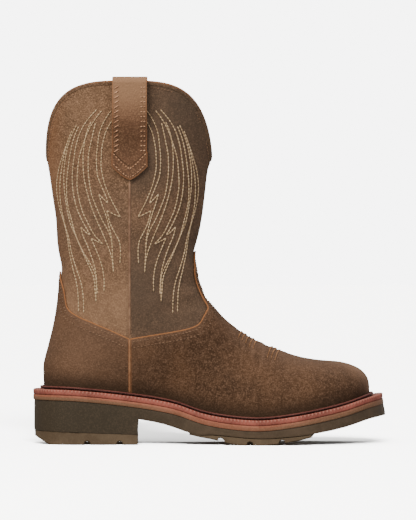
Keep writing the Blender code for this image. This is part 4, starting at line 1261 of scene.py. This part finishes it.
def strap_line(across, side):
    """The strap's middle line at a share across it: up inside, over and down outside."""
    x = SEAM_X + across * STRAP_WIDTH / 2
    half = STRAP_THICKNESS / 2
    spring, crown = COLLAR_HEIGHT - half, COLLAR_HEIGHT + STRAP_CROWN - half
    line = []
    for share in np.linspace(0.0, 1.0, INNER_ROWS):
        z = mix(COLLAR_HEIGHT - STRAP_INNER_DROP, spring, share)
        y = wall_reach(x, z, side) - WALL - half - 2 * GAP
        line.append((x, y - BINDING_WIDTH / 3 * ease(*LEAN_IN, share), z))
    outer = wall_reach(x, spring, side) + half + STRAP_STANDOFF * TOP_STANDOFF
    middle, span = (line[-1][1] + outer) / 2, (outer - line[-1][1]) / 2
    for turn in np.linspace(0.0, math.pi, TURN_ROWS)[1:-1]:
        line.append((x, middle - span * math.cos(turn), mix(spring, crown, math.sin(turn))))
    for share in np.linspace(0.0, 1.0, OUTER_ROWS):
        z = mix(spring, strap_end(across), share)
        stand = mix(TOP_STANDOFF, 1.0, ease(*STAND_RISE, share)) * (1 - ease(*STAND_FALL, share))
        patch = ease(-PATCH_STEP, PATCH_STEP, patch_top(across) - z)
        y = wall_reach(x, z, side) + half + 2 * GAP + STRAP_STANDOFF * stand + PATCH_RISE * patch
        line.append((x + across * PATCH_SPREAD * patch, y, z))
    return np.array(line) * (1, side, 1)


def make_strap(word, side):
    """Drape a strip along the lines, thicken it and round its edges."""
    steps = np.linspace(-1.0, 1.0, STRAP_COLUMNS + 1)
    lines = np.array([strap_line(across, side) for across in steps])
    rows = lines.shape[1] - 1

    def place(a, b):
        return lines[np.round(a * STRAP_COLUMNS).astype(int), np.round(b * rows).astype(int)]

    def marks(a, b, points):
        across, z, outside = 2 * a - 1, points[:, 2], b > (INNER_ROWS + TURN_ROWS / 2) / rows
        # Painted highlight: the strap is paler towards its top.
        top = ease(*(COLLAR_HEIGHT - drop for drop in STRAP_HIGHLIGHT_SPAN), z)
        rim = ease(*RIM_WIDTH, np.abs(across))
        tip = (1 - ease(*TIP_WIDTH, z - strap_end(across))) * outside
        dark = bump(z - COLLAR_HEIGHT + DARK_PLACE, DARK_REACH)
        inner = bump(z - patch_top(across), PATCH_LINE) * outside
        return {"raw": 0.55 * np.maximum(rim, tip), "wear": 0.80 * top,
                "shade": 0.35 * dark + 0.7 * inner}

    bm = drape(STRAP_COLUMNS, rows, place, marks)
    bmesh.ops.recalc_face_normals(bm, faces=bm.faces)
    bm.faces.ensure_lookup_table()
    outside = max(bm.faces, key=lambda face: face.calc_center_median().y * side)
    if outside.normal.y * side < 0:
        bmesh.ops.reverse_faces(bm, faces=bm.faces)
    half = STRAP_THICKNESS / 2
    bm.normal_update()
    spots = [(vert, vert.co + vert.normal * half) for vert in bm.verts]
    for vert, spot in spots:
        vert.co = spot
    tree = BVHTree.FromBMesh(bm)
    rim = {tuple(v.co) for v in bm.verts if v.is_boundary}
    bmesh.ops.solidify(bm, geom=bm.faces[:], thickness=STRAP_THICKNESS)
    corner = [e for e in bm.edges if all(tuple(v.co) in rim for v in e.verts)
              and e.calc_face_angle(0.0) > CORNER_ANGLE]
    bmesh.ops.bevel(bm, geom=corner, offset=EDGE_ROUND, segments=2, profile=0.5,
                    affect="EDGES", material=-1, clamp_overlap=True)
    piece("strap_" + word, bm, strap_leather,
          stands_for=("pull_strap_" + word,), closed=False)
    return tree


strap_trees = {side: make_strap(word, side) for side, word in ((-1, "lateral"), (1, "medial"))}

# %% [markdown]
# The straps are sewn by hand-guided machines: slanting whip stitches bind the rear edge, two
# rows of short stitches run down the front edge, and more rows follow the patch's point.

# %% Stitches on the straps
WHIP_PITCH, WHIP_TOP, WHIP_INSET, DOT_INSETS = 0.0043, 0.006, 0.0036, (0.0022, 0.0048)
# Each kind of stitch: how it runs along x and z, its length and its width.
WHIP, DOT = (0.83, 0.55, 0.0058, 0.0013), (1.0, 0.1, 0.0021, 0.0012)
POINT_STEPS, POINT_SLANT, POINT_MARGIN = np.arange(-0.94, 0.95, 0.145), 0.8, 0.0008
PATCH_MARGIN, END_MARGIN, POINT_LENGTH = 0.0018, 0.0026, 0.0022
PATCH_THREAD, END_THREAD = 0.0012, 0.0010
strap_seams = Seam()


def strap_stitch(side, x, z, dx, dz, length, width):
    """One stitch on a strap's face at x and z, running along (dx, dz)."""
    place, normal, _, _ = strap_trees[side].ray_cast(Vector((x, OUTSIDE * side, z)),
                                                     Vector((0, -side, 0)))
    if place is not None:
        strap_seams.stitch(place + normal * width / 4, normal, Vector((dx, 0, dz)), length, width)


for side in (-1, 1):
    rear, front = SEAM_X - STRAP_WIDTH / 2, SEAM_X + STRAP_WIDTH / 2
    for z in np.arange(COLLAR_HEIGHT - WHIP_TOP, COLLAR_HEIGHT - PATCH_EDGE, -WHIP_PITCH):
        strap_stitch(side, rear + WHIP_INSET, z, *WHIP)
        for inset in DOT_INSETS:
            strap_stitch(side, front - inset, z, *DOT)
    for step in POINT_STEPS:
        slant = np.sign(step) * POINT_SLANT
        x = SEAM_X + step * (STRAP_WIDTH / 2 - POINT_MARGIN)
        for z, width in ((patch_top(step) - PATCH_MARGIN, PATCH_THREAD),
                         (strap_end(step) + END_MARGIN, END_THREAD)):
            strap_stitch(side, x, z, 1.0, slant, POINT_LENGTH, width)
strap_seams.finish("strap_stitching", tan_thread)

# %% [markdown]
# The vamp is pinched into fine raised rows across the top of the foot, in two groups where
# the toes bend. A row of thread-fine pleats lets the stiff leather flex without cracking.

# %% Flex rows
FLEX_ROWS = ((0.1234, 0.0225), (0.1266, 0.0235), (0.1299, 0.0245), (0.1334, 0.0255),
             (0.1370, 0.0265), (0.1502, 0.0310), (0.1536, 0.0320), (0.1571, 0.0330))
FLEX_LEAN, FLEX_STEP = 0.16, 0.002
FLEX_STITCH = dict(pitch=0.0024, length=0.0030, width=0.0012)


def over_vamp(x, y):
    """The vamp's outer face straight below a place."""
    return vamp_tree.ray_cast(Vector((x, y, COLLAR_HEIGHT)), Vector((0, 0, -1)))[0]


flex_seams = Seam()
for x, half in FLEX_ROWS:
    hits = [over_vamp(x - FLEX_LEAN * abs(y), y) for y in np.arange(-half, half, FLEX_STEP)]
    flex_seams.row([hit for hit in hits if hit], vamp_tree, **FLEX_STITCH)
flex_seams.finish("flex_rows", pleat_leather)

# %% [markdown]
# Two rows of tan stitches hold down the edge of the vamp and the counter, and one row runs
# under the collar's binding. Their lines are found on the draped leather itself, a few
# millimetres in from the edge.

# %% Seams along the edges
COLLAR_SAMPLES, EDGE_SAMPLES, JUST_UNDER, SEAM_STOP = 500, 240, 0.93, 0.1
EDGE_ROWS, COLLAR_ROW = (0.0035, 0.0085), 0.0030
EDGE_STITCH = dict(pitch=0.0032, length=0.0026, width=0.0008)


def inside_edge(first, last, inset):
    """A line on the vamp or counter, an even distance in from its top edge."""
    around = np.linspace(first, last, EDGE_SAMPLES)
    edge = edge_level(around)
    rim = lifted(around, edge, 0 * around)
    under = lifted(around, edge * JUST_UNDER, 0 * around)
    run = unit(np.gradient(rim, axis=0))
    down = under - rim
    down -= run * np.sum(down * run, axis=1, keepdims=True)
    return rim + unit(down) * inset


edge_seams = Seam()
for first, last, tree in ((REAR + SEAM_STOP, REAR + 2 * FRONT - SEAM_STOP, vamp_tree),
                          (SEAM_STOP - REAR, REAR - SEAM_STOP, counter_tree)):
    for inset in EDGE_ROWS:
        edge_seams.row(inside_edge(first, last, inset), tree, **EDGE_STITCH)
edge_seams.finish("edge_stitching", brown_thread)


LAP_ENDS, LAP_RUN, LAP_STEP, LAP_SINK = (0.995, 0.03), 0.05, 0.02, 0.0002
LAP_RISE, LAP_HEIGHT, LAP_WIDTH = 0.0003, 0.0006, 0.0009


def lap_path(around):
    """Straight down the foot's side seam, from the overlay's edge to the bead."""
    def path(a):
        ring = np.full_like(a, around)
        v = edge_level(ring) * mix(*LAP_ENDS, a)
        run = unit(lifted(ring + LAP_RUN, v, 0 * a) - lifted(ring - LAP_RUN, v, 0 * a))
        down = lifted(ring, v * (1 - LAP_STEP), 0 * a) - lifted(ring, v * (1 + LAP_STEP), 0 * a)
        out = unit(np.cross(unit(down), run))
        return lifted(ring, v, 0 * a) - out * LAP_SINK, out, run
    return path


def lap_section(b):
    """A flat oval, half sunk in the leather."""
    turn = 2 * math.pi * b
    return LAP_RISE + LAP_HEIGHT * np.sin(turn), LAP_WIDTH * np.cos(turn)


for word, around in (("lateral", REAR), ("medial", REAR + 2 * FRONT)):
    bar("foot_seam_" + word, 60, 10, lap_path(around), lap_section, seam_leather, (),
        taper=True)


def under_collar(inset):
    """A line round the collar, a distance below its edge."""
    points, out, rise = collar_path(np.linspace(0, 1, COLLAR_SAMPLES))
    return points - rise * inset


collar_seam = Seam()
collar_seam.row(under_collar(COLLAR_ROW), shaft_tree, **EDGE_STITCH)
collar_seam.finish("collar_stitching", brown_thread)

# %% [markdown]
# The camera looks at the side of the boot as the catalogue photograph does, almost level and
# from far off, so that the sole's lines stay parallel. The floor is pale and plain, and large
# soft lights leave one faint shadow under the boot.

# %% Camera, floor and lights
IMAGE_WIDTH, IMAGE_HEIGHT = 416, 520
BOOT_SHARE, CAMERA_DISTANCE, CAMERA_RISE = 0.84, 9.0, 1.2
SENSOR = 36.0

low, high = CAD_BOX
middle = (Vector(low) + Vector(high)) / 2
rise = math.radians(CAMERA_RISE)
camera_data = bpy.data.cameras.new("camera")
camera = bpy.data.objects.new("camera", camera_data)
bpy.context.scene.collection.objects.link(camera)
away = Vector((0.0, -math.cos(rise), math.sin(rise)))
camera.location = middle + away * CAMERA_DISTANCE
camera.rotation_euler = (-away).to_track_quat("-Z", "Y").to_euler()
shown_width = (high[0] - low[0]) / BOOT_SHARE
camera_data.sensor_fit = "AUTO"
camera_data.sensor_width = SENSOR
camera_data.lens = SENSOR * CAMERA_DISTANCE / (shown_width * IMAGE_HEIGHT / IMAGE_WIDTH)
bpy.context.scene.camera = camera
print("lens", round(camera_data.lens), "mm, frame", round(1000 * shown_width), "mm wide")

FLOOR_SIZE = 12.0
bm = bmesh.new()
bmesh.ops.create_grid(bm, x_segments=8, y_segments=8, size=FLOOR_SIZE / 2)
floor_mesh = bpy.data.meshes.new("floor")
bm.to_mesh(floor_mesh)
bm.free()
floor = bpy.data.objects.new("floor", floor_mesh)
bpy.context.scene.collection.objects.link(floor)
floor_paint, tree, shader, place = blank("matt_white_floor")
shader.inputs["Base Color"].default_value = linear("#f6f5f3")
shader.inputs["Roughness"].default_value = 0.9
floor_mesh.materials.append(floor_paint)


def area_light(name, place, size, power, tint):
    data = bpy.data.lights.new(name, "AREA")
    data.shape, data.size, data.energy = "SQUARE", size, power
    data.color = linear(tint)[:3]
    light = bpy.data.objects.new(name, data)
    light.location = place
    light.rotation_euler = (middle - Vector(place)).to_track_quat("-Z", "Y").to_euler()
    bpy.context.scene.collection.objects.link(light)


# Name, place in metres, size in metres, power in watts and tint
area_light("key_light", (-0.9, -1.5, 1.3), 1.2, 40, "#fffaf2")
area_light("fill_light", (1.2, -1.4, 0.6), 1.4, 9, "#fbfcff")
area_light("top_light", (0.1, 0.5, 1.9), 1.4, 10, "#ffffff")

# %% [markdown]
# A catalogue photograph is cut out on pure white. Here the floor gets a broad light of its
# own, so that it turns white under a soft shadow while the boot keeps its depth, and the
# room is white where the camera sees it and darker below, where it only lights the boot.

# %% White floor and room
FLOOR_GLOW = 22.0
FLOOR_LIGHTS = ((0.0, 80.0, 0.14), (64.0, 20.0, 0.86))
ROOM_WHITE, ROOM_LIGHT = 6.5, 0.75
floor_only = bpy.data.collections.new("floor_only")
floor_only.objects.link(floor)
for lean, spread, share in FLOOR_LIGHTS:
    data = bpy.data.lights.new("floor_light", "SUN")
    data.energy = FLOOR_GLOW * share / math.cos(math.radians(lean))
    data.angle = math.radians(spread)
    sun = bpy.data.objects.new("floor_light", data)
    sun.rotation_euler.x = math.radians(lean)
    bpy.context.scene.collection.objects.link(sun)
    sun.light_linking.receiver_collection = floor_only
floor.visible_diffuse = False
floor.visible_glossy = False

world = bpy.data.worlds.new("white_room")
bpy.context.scene.world = world
world.use_nodes = True
tree = world.node_tree
lit = tree.nodes["Background"]
facing = add(tree, "SeparateXYZ", {"Vector": add(tree, "TexCoord").outputs["Generated"]})
height = add(tree, "MapRange", {"Value": facing.outputs["Z"]}, {"From Min": -1.0, "From Max": 1.0})
tree.links.new(ramp(tree, height.outputs["Result"], (0.30, 0.22), (0.55, 0.62), (1.0, 1.0)),
               lit.inputs["Color"])
lit.inputs["Strength"].default_value = ROOM_LIGHT
seen = add(tree, "Background", None, {"Color": (1.0, 1.0, 1.0, 1.0), "Strength": ROOM_WHITE})
both = add(tree, "MixShader", {0: add(tree, "LightPath").outputs["Is Camera Ray"],
                               1: lit.outputs[0], 2: seen.outputs[0]})
tree.links.new(both.outputs[0], tree.nodes["World Output"].inputs["Surface"])
